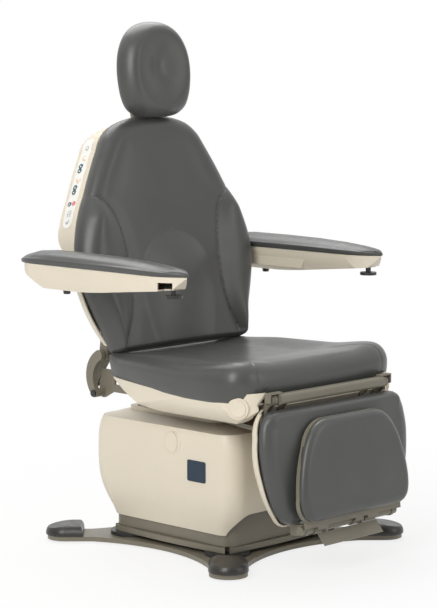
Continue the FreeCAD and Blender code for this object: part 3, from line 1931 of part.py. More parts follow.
def arm_stop():
    height = arm_low + arm_wall - stop_low
    cone = Part.makeCone(stop_low_radius, stop_top_radius, height, V(stop_x, stop_y, stop_low))
    pieces = cone.cut(arm_body(-hinge_gap, arm_joint_z + overrun)).Solids
    return sorted(pieces, key=lambda solid: solid.CenterOfMass.z)[0]


# Leg rest, in its own leaning frame about the front hinge

leg_top = -12.0
leg_top_half = 195.0
leg_bottom = -309.0
leg_bottom_half = 196.0
leg_arcs = (
    (248.0, -34.0, 267.0, -86.0),
    (273.0, -140.0, 264.0, -196.0),
    (248.0, -250.0, 226.0, -290.0),
    (214.0, -304.0, 196.0, -309.0),
)
leg_cushion_rear = 12.0
leg_lip_depth = 2.0
leg_lip_overhang = 3.5
leg_cushion_sections = (
    (leg_cushion_rear, 14.0),
    (5.0, 3.0),
    (-4.0, 0.0),
    (-16.0, 5.0),
    (-28.0, 18.0),
    (-37.0, 42.0),
    (-43.0, 88.0),
)
leg_shell_sections = (
    (leg_lip_depth, -leg_lip_overhang),
    (24.0, 4.0),
    (36.0, 18.0),
    (42.0, 38.0),
)
leg_shell_wall = 3.0
axis_clear_radius = 31.0
taper_top = -150.0
taper_depth = 26.0
tube_depth = -27.0
tube_height = -326.0
tube_radius = 11.0
tube_half_length = 179.0
arm_plate_inner = 158.0
arm_plate_outer = 166.0
tube_boss_radius = 13.5
leg_plate_front = leg_cushion_rear + soft_gap
leg_plate_thickness = 4.0
leg_plate_half = 185.0
leg_plate_top = -52.0
leg_plate_bottom = -250.0
ear_root_depth = 26.0
ear_relief = 4.0
ear_slot_bottom = -64.0
lug_slot_gap = 3.0
ear_root_height = -96.0
pin_end_inner = 190.0


def leg_outline(inset, depth):
    centre = (leg_top + leg_bottom) / 2
    half = (leg_top - leg_bottom) / 2
    share = (half - inset) / half

    def scaled(x, z):
        return x - inset, centre + (z - centre) * share

    steps = [scaled(leg_top_half, leg_top)]
    for arc in leg_arcs:
        steps.append(scaled(arc[0], arc[1]) + scaled(arc[2], arc[3]))
    low = steps[-1]
    steps.append((-low[2], low[3]))
    for index in range(len(leg_arcs), 0, -1):
        middle = steps[index]
        end = steps[index - 1]
        steps.append((-middle[0], middle[1], -end[-2], end[-1]))
    start = steps[0]
    return closed_wire((-start[0], start[1]), steps, lambda a, b: V(a, depth, b))


def leg_loft(sections, extra_inset, extra_depth):
    return loft([leg_outline(inset + extra_inset, depth + extra_depth) for depth, inset in sections])


def hinge_clearance(radius):
    return rod_x(-back_half_width, back_half_width, 0, 0, radius)


def leg_taper(offset):
    far = leg_shell_sections[-1][0] + overrun
    rear = leg_shell_sections[-1][0]
    low = leg_bottom - overrun
    return prism_x(
        (rear - offset, taper_top),
        [(taper_depth - offset, low), (far, low), (far, taper_top)],
        -back_half_width,
        back_half_width,
    )


def legrest_cushion():
    body = leg_loft(leg_cushion_sections, 0, 0)
    return on_legrest(body.cut(hinge_clearance(axis_clear_radius)))


def crank_space(margin, inner, outer):
    depth, height = to_legrest(front_pin_y, front_pin_z)
    eye = link_eye_radius + margin
    space = prism_x((-eye, 0), [(depth - eye, height), (depth + eye, height), (eye, 0)], inner, outer)
    return space.fuse(rod_x(inner, outer, depth, height, eye))


def legrest_shell():
    outer = leg_loft(leg_shell_sections, 0, 0).cut(leg_taper(0))
    inner = leg_loft(leg_shell_sections, leg_shell_wall, -leg_shell_wall).cut(leg_taper(leg_shell_wall))
    shell = outer.cut(inner).cut(hinge_clearance(axis_clear_radius))
    gap = 2 * slide_gap
    ear_slot = crank_space(gap, crank_inner - gap, crank_outer + gap)
    ear_slot_low = block(
        V(crank_inner - gap, 0, ear_root_height - gap), V(crank_outer + gap, leg_shell_sections[2][0], 0)
    )
    outer_slot = block(
        V(ear_inner - gap, 0, ear_root_height - gap), V(ear_outer + gap, leg_shell_sections[2][0], 0)
    )
    top_slot = block(
        V(crank_inner - gap, 0, ear_slot_bottom), V(ear_outer + gap, leg_shell_sections[3][0] + overrun, 0)
    )
    foot_slot = block(
        V(arm_plate_inner - gap, 0, leg_bottom - overrun),
        V(arm_plate_outer + gap, ear_root_depth, leg_bottom + leg_shell_wall * 5),
    )
    lug_slot = block(
        V(lug_inner - lug_slot_gap, 0, ear_slot_bottom),
        V(lug_outer + lug_slot_gap, leg_shell_sections[3][0] + overrun, 0),
    )
    for cutter in (ear_slot, ear_slot_low, outer_slot, top_slot, lug_slot, foot_slot):
        shell = shell.cut(cutter).cut(mirrored(cutter))
    return on_legrest(shell)


def ear_plate(inner, outer):
    boss = frame_boss_radius - slide_gap * 5
    front = leg_plate_front
    steps = [
        (ear_root_depth, -axis_clear_radius),
        (ear_root_depth, ear_root_height),
        (front, ear_root_height),
        (front, -axis_clear_radius + ear_relief),
        (-boss, 0),
    ]
    plate = prism_x((boss, 0), steps, inner, outer)
    return plate.fuse(rod_x(inner, outer, 0, 0, boss))


def legrest_frame():
    hole = rod_x(crank_inner - overrun, ear_outer + overrun, 0, 0, pivot_bolt_radius + hinge_gap)
    inner_ear = ear_plate(crank_inner, crank_outer).fuse(crank_space(0, crank_inner, crank_outer)).cut(hole)
    outer_ear = ear_plate(ear_inner, ear_outer).cut(hole)
    depth, height = to_legrest(front_pin_y, front_pin_z)
    pin = rod_x(pin_end_inner, crank_outer, depth, height, crank_pin_radius)
    front = leg_plate_front
    rear = front + leg_plate_thickness
    plate = block(V(-ear_outer, front, ear_root_height), V(ear_outer, rear, leg_plate_top - axis_clear_radius / 2))
    panel = block(
        V(-leg_plate_half, front, leg_plate_bottom), V(leg_plate_half, rear, leg_plate_top)
    )
    boss = tube_boss_radius
    low = tube_height - boss
    foot_steps = [
        (front, leg_bottom - slide_gap * 5),
        (tube_depth, tube_height + boss),
        (tube_depth - boss, tube_height, tube_depth, low),
        (rear, low),
        (rear + leg_plate_thickness, leg_bottom),
        (rear + leg_plate_thickness, leg_plate_bottom),
    ]
    foot = prism_x((front, leg_plate_bottom), foot_steps, arm_plate_inner, arm_plate_outer)
    foot = foot.cut(
        rod_x(arm_plate_inner - overrun, arm_plate_outer + overrun, tube_depth, tube_height, tube_radius + hinge_gap)
    )
    rib = block(
        V(arm_plate_inner, front, leg_plate_bottom), V(arm_plate_outer, rear + leg_plate_thickness, leg_plate_top)
    )
    pieces = [plate, panel]
    for piece in (inner_ear, outer_ear, pin, foot, rib):
        pieces.append(piece)
        pieces.append(mirrored(piece))
    return on_legrest(fused(pieces))


def foot_hinge_tube():
    return on_legrest(rod_x(-tube_half_length, tube_half_length, tube_depth, tube_height, tube_radius))


# Fold-out foot panel on the leg rest's lower tube

panel_top = -62.0
panel_top_half = 92.0
panel_bottom = -300.0
panel_arcs = (
    (140.0, -82.0, 166.0, -124.0),
    (189.0, -184.0, 198.0, -240.0),
    (196.0, -276.0, 170.0, -300.0),
)
tray_rear = -47.0
tray_thickness = 2.5
tray_rim_front = -58.0
tray_rim = 2.5
tray_margin = 5.0
panel_cushion_rear = tray_rear - tray_thickness
panel_cushion_sections = (
    (panel_cushion_rear - soft_gap, 5.0),
    (-56.0, 0.0),
    (-65.0, 2.0),
    (-73.0, 12.0),
    (-78.0, 32.0),
    (-80.5, 66.0),
)
flange_half = 182.0
flange_bottom = -321.0
knuckle_end_shares = ((-0.754, -0.559), (0.034, 0.196), (0.291, 0.525))
knuckle_places = [(low * tube_half_length, high * tube_half_length) for low, high in knuckle_end_shares]
knuckle_wall = 3.2
web_top = -315.0
web_bottom = -328.0
web_rear = -36.0
pedal_bracket_width = 9.7
pedal_bracket_starts = (knuckle_places[0][1] + slide_gap, knuckle_places[1][1] + slide_gap)
pedal_bracket_places = [(start, start + pedal_bracket_width) for start in pedal_bracket_starts]
pedal_left = -128.0
pedal_right = 92.0
pedal_near_depth = -14.0
pedal_near_height = -12.0
pedal_far_depth = -35.0
pedal_far_height = -42.0
pedal_thickness = 3.0


def panel_outline(inset, depth):
    centre = (panel_top + panel_bottom) / 2
    half = (panel_top - panel_bottom) / 2
    share = (half - inset) / half

    def scaled(x, z):
        return x - inset, centre + (z - centre) * share

    steps = [scaled(panel_top_half, panel_top)]
    for arc in panel_arcs:
        steps.append(scaled(arc[0], arc[1]) + scaled(arc[2], arc[3]))
    low = steps[-1]
    steps.append((-low[2], low[3]))
    for index in range(len(panel_arcs), 0, -1):
        middle = steps[index]
        end = steps[index - 1]
        steps.append((-middle[0], middle[1], -end[-2], end[-1]))
    start = steps[0]
    return closed_wire((-start[0], start[1]), steps, lambda a, b: V(a, depth, b))


def panel_slab(inset, depth_low, depth_high):
    return Part.Face(panel_outline(inset, depth_low)).extrude(V(0, depth_high - depth_low, 0))


def foot_tray():
    slab = panel_slab(-tray_margin, tray_rim_front, tray_rear)
    pocket = panel_slab(tray_rim - tray_margin, tray_rim_front - overrun, tray_rear - tray_thickness)
    tray = slab.cut(pocket)
    flange = block(
        V(-flange_half, tray_rear - tray_thickness, flange_bottom),
        V(flange_half, tray_rear, panel_bottom + tray_margin),
    )
    tray = tray.fuse(flange)
    for left, right in knuckle_places:
        web = block(V(left, tray_rear - tray_thickness, web_bottom), V(right, web_rear, web_top))
        sleeve = rod_x(left, right, tube_depth, tube_height, tube_radius + hinge_gap + knuckle_wall)
        tray = tray.fuse(web).fuse(sleeve)
    tray = tray.cut(rod_x(-flange_half, flange_half, tube_depth, tube_height, tube_radius + hinge_gap))
    return on_legrest(tray.removeSplitter())


def foot_cushion():
    wires = [panel_outline(inset, depth) for depth, inset in panel_cushion_sections]
    return on_legrest(loft(wires))


def foot_pedal():
    near_y = tube_depth + pedal_near_depth
    near_z = tube_height + pedal_near_height
    far_y = tube_depth + pedal_far_depth
    far_z = tube_height + pedal_far_height
    thick = pedal_thickness
    plate = prism_x(
        (near_y, near_z),
        [(far_y, far_z), (far_y + thick, far_z - thick / 2), (near_y + thick, near_z - thick)],
        pedal_left,
        pedal_right,
    )
    pieces = [plate]
    for left, right in pedal_bracket_places:
        outer = tube_radius + hinge_gap + knuckle_wall
        sleeve = rod_x(left, right, tube_depth, tube_height, outer)
        web = prism_x(
            (tube_depth - outer, tube_height),
            [(near_y, near_z), (far_y, far_z), (near_y + 2 * thick, near_z - 2 * thick), (tube_depth, tube_height - outer)],
            left,
            right,
        )
        pieces.append(sleeve.fuse(web))
    pedal = fused(pieces)
    return on_legrest(
        pedal.cut(rod_x(-flange_half, flange_half, tube_depth, tube_height, tube_radius + hinge_gap))
    )


# Every node and the function that makes it

nodes = [
    ("base_plate", base_plate),
    ("levelling_glides", levelling_glides),
    ("foot_covers", foot_covers),
    ("bearing_lower_ring", bearing_lower_ring),
    ("bearing_upper_ring", bearing_upper_ring),
    ("swivel_plate", swivel_plate),
    ("slide_pads", slide_pads),
    ("lower_skirt", lower_skirt),
    ("base_shroud", base_shroud),
    ("side_caps", side_caps),
    ("badge_plate", badge_plate),
    ("lift_mast", lift_mast),
    ("lift_actuator", lift_actuator),
    ("control_box", control_box),
    ("middle_sleeve", middle_sleeve),
    ("riser_middle", riser_middle),
    ("seat_sleeve", seat_sleeve),
    ("lift_rod", lift_rod),
    ("riser_inner", riser_inner),
    ("seat_frame", seat_frame),
    ("front_hinge_bar", front_hinge_bar),
    ("hinge_brackets", hinge_brackets),
    ("pivot_bolts", pivot_bolts),
    ("seat_board", seat_board),
    ("seat_cushion", seat_cushion),
    ("seat_side_covers", seat_side_covers),
    ("pivot_caps", pivot_caps),
    ("recline_actuator", recline_actuator),
    ("recline_rod", recline_rod),
    ("sync_links", sync_links),
    ("back_frame", back_frame),
    ("back_shell", back_shell),
    ("back_cushion", back_cushion),
    ("control_pod", control_pod),
    ("keypad_panel", keypad_panel),
    ("headrest_post", headrest_post),
    ("headrest_lock", headrest_lock),
    ("headrest_cap", headrest_cap),
    ("headrest_cushion", headrest_cushion),
    ("legrest_frame", legrest_frame),
    ("legrest_shell", legrest_shell),
    ("legrest_cushion", legrest_cushion),
    ("foot_hinge_tube", foot_hinge_tube),
    ("foot_tray", foot_tray),
    ("foot_cushion", foot_cushion),
    ("foot_pedal", foot_pedal),
]

paired_nodes = [
    ("arm_hub", arm_hub),
    ("arm_shell", arm_shell),
    ("arm_pad", arm_pad),
    ("arm_lever", arm_lever),
    ("arm_stop", arm_stop),
]


def write_step(name, shape):
    if not shape.isValid() or shape.Volume <= 0:
        print("check", name, shape.isValid(), shape.Volume)
    shape.exportStep("parts/" + name + ".step")
    print(name, len(shape.Solids), round(shape.Volume))


os.makedirs("parts", exist_ok=True)
for node_name, make in nodes:
    write_step(node_name, make())
for key_name, key_depth, key_height, is_rocker in key_places:
    write_step(key_name, key(key_depth, key_height, is_rocker))
for node_name, make in paired_nodes:
    left_side = make()
    write_step(node_name + "_left", left_side)
    write_step(node_name + "_right", mirrored(left_side))
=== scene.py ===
import json
import math

import bmesh
import bpy
from bpy.props import FloatProperty, FloatVectorProperty, IntProperty, PointerProperty
from bpy.types import Operator, Panel, PropertyGroup
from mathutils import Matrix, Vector
from mathutils.bvhtree import BVHTree
from mathutils.kdtree import KDTree


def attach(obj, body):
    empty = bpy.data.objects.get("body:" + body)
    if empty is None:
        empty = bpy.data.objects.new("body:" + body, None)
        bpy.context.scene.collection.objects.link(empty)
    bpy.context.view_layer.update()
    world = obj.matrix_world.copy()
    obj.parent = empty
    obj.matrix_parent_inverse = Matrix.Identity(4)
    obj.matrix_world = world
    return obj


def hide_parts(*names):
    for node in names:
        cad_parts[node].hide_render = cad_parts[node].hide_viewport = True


bl_info = {
    "name": "Examination Chair",
    "version": (1, 0, 0),
    "blender": (4, 5, 0),
    "location": "View3D > Sidebar > Chair",
    "description": "Upholstery, finishes and fittings of a reclining examination chair",
    "category": "Object",
}

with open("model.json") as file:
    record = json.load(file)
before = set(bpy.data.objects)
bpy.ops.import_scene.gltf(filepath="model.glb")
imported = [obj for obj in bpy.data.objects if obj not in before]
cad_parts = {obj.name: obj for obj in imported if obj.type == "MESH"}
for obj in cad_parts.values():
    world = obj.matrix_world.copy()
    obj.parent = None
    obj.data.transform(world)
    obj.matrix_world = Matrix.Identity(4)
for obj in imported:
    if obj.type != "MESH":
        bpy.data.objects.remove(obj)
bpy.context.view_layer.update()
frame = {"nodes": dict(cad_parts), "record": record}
nodes = frame["nodes"]


# Sizes and colours that a user would change

class ChairColours(PropertyGroup):
    vinyl: FloatVectorProperty(
        name="Vinyl", description="Upholstery colour", subtype="COLOR", size=3,
        default=(0.066, 0.068, 0.065), min=0, max=1)
    plastic: FloatVectorProperty(
        name="Covers", description="Colour of the moulded covers", subtype="COLOR", size=3,
        default=(0.715, 0.650, 0.530), min=0, max=1)
    paint: FloatVectorProperty(
        name="Frame paint", description="Colour of the painted steel", subtype="COLOR", size=3,
        default=(0.190, 0.172, 0.130), min=0, max=1)
    dark: FloatVectorProperty(
        name="Dark plastic", description="Colour of the foot covers and levers", subtype="COLOR", size=3,
        default=(0.026, 0.024, 0.021), min=0, max=1)
    film: FloatVectorProperty(
        name="Keypad film", description="Ground colour of the keypad", subtype="COLOR", size=3,
        default=(0.84, 0.83, 0.79), min=0, max=1)
    key: FloatVectorProperty(
        name="Keys", description="Colour of the rocker keys and signs", subtype="COLOR", size=3,
        default=(0.012, 0.070, 0.110), min=0, max=1)
    stop: FloatVectorProperty(
        name="Stop key", description="Colour of the stop key", subtype="COLOR", size=3,
        default=(0.72, 0.035, 0.045), min=0, max=1)
    amber: FloatVectorProperty(
        name="Amber signs", description="Colour of the amber signs", subtype="COLOR", size=3,
        default=(0.75, 0.38, 0.03), min=0, max=1)
    plaque: FloatVectorProperty(
        name="Plaque", description="Colour of the bare plaque", subtype="COLOR", size=3,
        default=(0.008, 0.026, 0.050), min=0, max=1)


class ChairSizes(PropertyGroup):
    seam_depth: FloatProperty(
        name="Seam depth", description="How far a sewn seam draws in", default=0.0024, unit="LENGTH")
    seam_width: FloatProperty(
        name="Seam width", description="Half width of the drawn-in strip", default=0.0048, unit="LENGTH")
    thread: FloatProperty(
        name="Thread radius", description="Radius of a seam's thread", default=0.0007, unit="LENGTH")
    rim_points: IntProperty(
        name="Rim points", description="Points round a cushion's rim", default=320, min=64)


class ChairStage(PropertyGroup):
    azimuth: FloatProperty(
        name="Azimuth", description="Camera angle round the chair", default=math.radians(-46),
        unit="ROTATION")
    elevation: FloatProperty(
        name="Elevation", description="Camera angle above level", default=math.radians(6.98),
        unit="ROTATION")
    distance: FloatProperty(
        name="Distance", description="Camera distance", default=5.726, unit="LENGTH")
    lens: FloatProperty(name="Lens", description="Focal length in millimetres", default=130.26)
    key_light: FloatProperty(name="Key light", description="Power of the large left lamp", default=84.0)
    top_light: FloatProperty(name="Top light", description="Power of the lamp overhead", default=62.0)
    right_light: FloatProperty(name="Right light", description="Power of the right lamp", default=20.0)
    sky: FloatProperty(name="Sky", description="Strength of the even light", default=0.42)


def sizes():
    return bpy.context.scene.chair_sizes


def colours():
    return bpy.context.scene.chair_colours


# Finishes

def shader_tree(name):
    material = bpy.data.materials.new(name)
    material.use_nodes = True
    tree = material.node_tree
    return material, tree, tree.nodes["Principled BSDF"]


def add(tree, kind, **values):
    node = tree.nodes.new(kind)
    for key, value in values.items():
        if key in node.inputs:
            node.inputs[key].default_value = value
        else:
            setattr(node, key, value)
    return node


def place_on(tree, stretch=(1, 1, 1)):
    place = tree.nodes.new("ShaderNodeTexCoord")
    mapping = tree.nodes.new("ShaderNodeMapping")
    mapping.inputs["Scale"].default_value = stretch
    tree.links.new(place.outputs["Object"], mapping.inputs["Vector"])
    return mapping.outputs["Vector"]


def noise(tree, place, scale, detail=3.0, roughness=0.5):
    node = add(tree, "ShaderNodeTexNoise", Scale=scale, Detail=detail, Roughness=roughness)
    tree.links.new(place, node.inputs["Vector"])
    return node.outputs["Fac"]


# Noise keeps mostly to this span.
noise_span = (0.25, 0.75)


def remap(tree, value, source, target):
    # Maps a value from one range to another.
    node = add(tree, "ShaderNodeMapRange", **{
        "From Min": source[0], "From Max": source[1], "To Min": target[0], "To Max": target[1]})
    tree.links.new(value, node.inputs["Value"])
    return node.outputs["Result"]


def tinted(tree, shader, colour, value, low, high):
    # Lets the colour drift between two shades of itself.
    mix = tree.nodes.new("ShaderNodeMix")
    mix.data_type = "RGBA"
    mix.inputs["A"].default_value = tuple(min(1, c * low) for c in colour) + (1,)
    mix.inputs["B"].default_value = tuple(min(1, c * high) for c in colour) + (1,)
    tree.links.new(remap(tree, value, noise_span, (0, 1)), mix.inputs["Factor"])
    tree.links.new(mix.outputs["Result"], shader.inputs["Base Color"])


def roughened(tree, shader, value, low, high):
    tree.links.new(remap(tree, value, noise_span, (low, high)), shader.inputs["Roughness"])


def combined(tree, operation, first, second):
    node = add(tree, "ShaderNodeMath", operation=operation)
    tree.links.new(first, node.inputs[0])
    tree.links.new(second, node.inputs[1])
    return node.outputs["Value"]


def bump(tree, shader, height, distance, strength=1.0):
    node = add(tree, "ShaderNodeBump", Strength=strength, Distance=distance)
    tree.links.new(height, node.inputs["Height"])
    tree.links.new(node.outputs["Normal"], shader.inputs["Normal"])


def vinyl_finish():
    material, tree, shader = shader_tree("vinyl")
    place = place_on(tree)
    tinted(tree, shader, colours().vinyl, noise(tree, place, scale=9.0, detail=4.0), low=0.93, high=1.07)
    roughened(tree, shader, noise(tree, place, scale=26.0, detail=5.0), low=0.30, high=0.38)
    pebbles = add(tree, "ShaderNodeTexVoronoi", Scale=620.0)
    tree.links.new(place, pebbles.inputs["Vector"])
    fine = noise(tree, place, scale=1500.0, detail=2.0)
    grain = combined(tree, "ADD", pebbles.outputs["Distance"], fine)
    bump(tree, shader, grain, distance=0.00009, strength=0.7)
    shader.inputs["Specular IOR Level"].default_value = 0.5
    shader.inputs["Sheen Weight"].default_value = 0.05
    return material


def cover_finish():
    material, tree, shader = shader_tree("moulded_cover")
    place = place_on(tree)
    tinted(tree, shader, colours().plastic, noise(tree, place, scale=5.0), low=0.975, high=1.02)
    roughened(tree, shader, noise(tree, place, scale=40.0), low=0.33, high=0.42)
    bump(tree, shader, noise(tree, place, scale=1100.0, detail=2.0), distance=0.00004, strength=0.6)
    shader.inputs["Subsurface Weight"].default_value = 0.03
    shader.inputs["Subsurface Radius"].default_value = (0.003, 0.002, 0.0015)
    return material


def paint_finish():
    material, tree, shader = shader_tree("frame_paint")
    place = place_on(tree)
    tinted(tree, shader, colours().paint, noise(tree, place, scale=12.0, detail=5.0), low=0.94, high=1.06)
    roughened(tree, shader, noise(tree, place, scale=60.0), low=0.36, high=0.47)
    bump(tree, shader, noise(tree, place, scale=700.0, detail=3.0), distance=0.00007, strength=0.7)
    return material


def steel_finish(name, colour, low, high, stretch):
    # Brushed or drawn steel with its lines along one axis; low and high are its roughness.
    material, tree, shader = shader_tree(name)
    lines = noise(tree, place_on(tree, stretch), scale=30.0, detail=6.0, roughness=0.7)
    tinted(tree, shader, colour, lines, low=0.88, high=1.05)
    roughened(tree, shader, lines, low, high)
    shader.inputs["Metallic"].default_value = 1.0
    bump(tree, shader, lines, distance=0.00003, strength=0.5)
    return material


def dark_finish(name, colour, low, high, grain):
    material, tree, shader = shader_tree(name)
    place = place_on(tree)
    tinted(tree, shader, colour, noise(tree, place, scale=18.0, detail=4.0), low=0.86, high=1.16)
    roughened(tree, shader, noise(tree, place, scale=45.0), low, high)
    bump(tree, shader, noise(tree, place, scale=grain, detail=2.0), distance=0.00008, strength=0.7)
    return material


def gloss_finish(name, colour, roughness=0.18, coat=0.3):
    material, tree, shader = shader_tree(name)
    place = place_on(tree)
    tinted(tree, shader, colour, noise(tree, place, scale=30.0), low=0.95, high=1.05)
    roughened(tree, shader, noise(tree, place, scale=300.0), low=roughness - 0.03, high=roughness + 0.06)
    shader.inputs["Coat Weight"].default_value = coat
    return material


def wood_finish():
    material, tree, shader = shader_tree("plywood")
    place = place_on(tree, stretch=(1, 9, 9))
    rings = noise(tree, place, scale=16.0, detail=6.0, roughness=0.65)
    tinted(tree, shader, (0.42, 0.28, 0.15), rings, low=0.75, high=1.15)
    shader.inputs["Roughness"].default_value = 0.6
    bump(tree, shader, noise(tree, place, scale=60.0, detail=4.0), distance=0.0001, strength=0.5)
    return material


finishes = {}


def make_finishes():
    tone = colours()
    black = (0.018, 0.018, 0.018)
    rubber = (0.015, 0.015, 0.015)
    steel = (0.50, 0.49, 0.47)
    chrome = (0.72, 0.72, 0.73)
    finishes["upholstery"] = vinyl_finish()
    finishes["cover_plastic"] = cover_finish()
    finishes["frame_paint"] = paint_finish()
    finishes["inner_steel"] = steel_finish("inner_steel", steel, low=0.32, high=0.48, stretch=(1, 1, 8))
    finishes["rod_chrome"] = steel_finish("rod_chrome", chrome, low=0.08, high=0.16, stretch=(1, 8, 1))
    finishes["dark_plastic"] = dark_finish("dark_plastic", tone.dark, low=0.26, high=0.40, grain=900.0)
    finishes["slide_plastic"] = dark_finish("slide_plastic", black, low=0.32, high=0.45, grain=900.0)
    finishes["foot_rubber"] = dark_finish("foot_rubber", rubber, low=0.6, high=0.75, grain=400.0)
    finishes["panel_film"] = gloss_finish("panel_film", tone.film, roughness=0.32)
    finishes["key_blue"] = gloss_finish("key_blue", tone.key)
    finishes["key_red"] = gloss_finish("key_red", tone.stop)
    finishes["key_amber"] = gloss_finish("key_amber", tone.amber, roughness=0.3)
    finishes["badge"] = gloss_finish("plaque", tone.plaque, roughness=0.45, coat=0)
    finishes["board_wood"] = wood_finish()


# Curves and surfaces

tiny = 1e-9


def smooth_through(points, closed, per_span=12):
    # Centripetal spline through the points.
    count = len(points)
    result = []
    spans = count if closed else count - 1

    def pick(index):
        if closed:
            return points[index % count]
        if index < 0:
            return points[0] * 2 - points[1]
        if index >= count:
            return points[-1] * 2 - points[-2]
        return points[index]

    for span in range(spans):
        p0, p1, p2, p3 = (pick(span + k) for k in (-1, 0, 1, 2))
        t0 = 0.0
        t1 = t0 + math.sqrt(max((p1 - p0).length, tiny))
        t2 = t1 + math.sqrt(max((p2 - p1).length, tiny))
        t3 = t2 + math.sqrt(max((p3 - p2).length, tiny))
        for step in range(per_span):
            t = t1 + (t2 - t1) * step / per_span
            a1 = p0 * ((t1 - t) / (t1 - t0)) + p1 * ((t - t0) / (t1 - t0))
            a2 = p1 * ((t2 - t) / (t2 - t1)) + p2 * ((t - t1) / (t2 - t1))
            a3 = p2 * ((t3 - t) / (t3 - t2)) + p3 * ((t - t2) / (t3 - t2))
            b1 = a1 * ((t2 - t) / (t2 - t0)) + a2 * ((t - t0) / (t2 - t0))
            b2 = a2 * ((t3 - t) / (t3 - t1)) + a3 * ((t - t1) / (t3 - t1))
            result.append(b1 * ((t2 - t) / (t2 - t1)) + b2 * ((t - t1) / (t2 - t1)))
    if not closed:
        result.append(points[-1].copy())
    return result


def evenly(points, count, closed):
    loop = points + [points[0]] if closed else points
    lengths = [0.0]
    for a, b in zip(loop[:-1], loop[1:]):
        lengths.append(lengths[-1] + (b - a).length)
    total = lengths[-1]
    result = []
    index = 0
    steps = count if closed else count - 1
    for step in range(count):
        target = total * step / steps
        while index < len(loop) - 2 and lengths[index + 1] < target:
            index += 1
        span = lengths[index + 1] - lengths[index]
        share = (target - lengths[index]) / span if span > 0 else 0
        result.append(loop[index].lerp(loop[index + 1], share))
    return result


def mirrored_loop(right_side):
    # A symmetrical closed outline from its right-hand points, listed from the bottom to the top.
    left_side = [Vector((-p[0], p[1])) for p in reversed(right_side) if abs(p[0]) > tiny]
    return [Vector(p) for p in right_side] + left_side


def inward(loop):
    count = len(loop)
    area = sum(a.x * b.y - b.x * a.y for a, b in zip(loop, loop[1:] + loop[:1]))
    turn = 1 if area > 0 else -1
    result = []
    for index in range(count):
        along = loop[(index + 2) % count] - loop[index - 2]
        along.normalize()
        result.append(Vector((-along.y, along.x)) * turn)
    return result


def mesh_piece(name, points, faces, finish, smooth=True):
    mesh = bpy.data.meshes.new(name)
    mesh.from_pydata(points, [], faces)
    mesh.validate()
    piece = bpy.data.objects.new(name, mesh)
    bpy.context.scene.collection.objects.link(piece)
    bm = bmesh.new()
    bm.from_mesh(mesh)
    bmesh.ops.recalc_face_normals(bm, faces=bm.faces)
    bm.to_mesh(mesh)
    bm.free()
    for polygon in mesh.polygons:
        polygon.use_smooth = smooth
    mesh.materials.append(finishes[finish])
    return piece


# Rings of a cushion's mesh: shares of its underside, steps round its rear and front edges, and rings inside
underside_shares = (0.12, 0.45, 0.75)
rear_steps = 6
front_steps = 14
inner_rings = 44


def cushion_form(name, outline, spine, face, place, base, widest, rear, front):
    """A closed pad. outline is its plan, and spine says where a plan point goes as the rings close. face
    gives the height of the sitter's side at a plan point, and place maps plan and height to the chair. base
    is the height of the underside. widest is the height of the widest ring; rear and front are how far the
    underside and the sitter's side draw in from it. These three are numbers or functions of a rim point."""
    rim = evenly(smooth_through(outline, True), sizes().rim_points, True)
    normals = inward(rim)
    count = len(rim)
    points = []
    rings = []

    def round_rim(value):
        return [value(p) for p in rim] if callable(value) else [value] * count

    def ring(insets, portion, share):
        plan = []
        for point, normal, inset in zip(rim, normals, insets):
            moved = point + normal * (inset * portion)
            goal = spine(moved)
            plan.append(goal + (moved - goal) * share)
        return plan

    def add_ring(plan, heights):
        rings.append(len(points))
        for p, h in zip(plan, heights):
            points.append(place(p.x, p.y, h))

    widest, rear, front = map(round_rim, (widest, rear, front))
    for share in underside_shares:
        add_ring(ring(rear, 1, share), [base] * count)
    for step in range(rear_steps + 1):
        angle = math.radians(90) * step / rear_steps
        plan = ring(rear, 1 - math.sin(angle), 1)
        add_ring(plan, [base + (wide - base) * (1 - math.cos(angle)) for wide in widest])
    for step in range(1, front_steps + 1):
        angle = math.radians(90) * step / front_steps
        plan = ring(front, 1 - math.cos(angle), 1)
        lift = math.sin(angle)
        add_ring(plan, [wide + (face(p.x, p.y) - wide) * lift for p, wide in zip(plan, widest)])
    for step in range(1, inner_rings):
        plan = ring(front, 1, 1 - step / inner_rings)
        add_ring(plan, [face(p.x, p.y) for p in plan])
    faces = []
    for low, high in zip(rings[:-1], rings[1:]):
        for i in range(count):
            j = (i + 1) % count
            faces.append((low + i, low + j, high + j, high + i))
    for start in (rings[0], rings[-1]):
        points.append(sum((Vector(points[start + i]) for i in range(count)), Vector()) / count)
        hub = len(points) - 1
        for i in range(count):
            faces.append((start + i, start + (i + 1) % count, hub))
    return mesh_piece(name, points, faces, "upholstery")


def toward(middle, across=0.05, along=0.05):
    # Shrinks a plan towards the place on its centre line that is called middle.
    return lambda p: Vector((p.x * across, middle + (p.y - middle) * along))


def refine_near(piece, path, reach, cuts):
    bm = bmesh.new()
    bm.from_mesh(piece.data)
    tree = KDTree(len(path))
    for index, point in enumerate(path):
        tree.insert(point, index)
    tree.balance()
    edges = set()
    for face in bm.faces:
        if any(tree.find(v.co)[2] < reach for v in face.verts):
            edges.update(face.edges)
    bmesh.ops.subdivide_edges(bm, edges=list(edges), cuts=cuts, use_grid_fill=True, smooth=0.0)
    bm.to_mesh(piece.data)
    bm.free()
    for polygon in piece.data.polygons:
        polygon.use_smooth = True


def surface_of(piece):
    # The piece's surface in the chair's frame, for rays to find.
    return BVHTree.FromPolygons(
        [piece.matrix_world @ v.co for v in piece.data.vertices],
        [tuple(p.vertices) for p in piece.data.polygons])


cast_from = 0.3


def laid_on(piece, points, direction):
    # Drops points onto a piece along a direction; gives places and outward normals.
    surface = surface_of(piece)
    places = []
    for point in points:
        hit, normal, _, _ = surface.ray_cast(point - direction * cast_from, direction)
        if hit is not None:
            if normal.dot(direction) > 0:
                normal = -normal
            places.append((hit, normal))
    return places


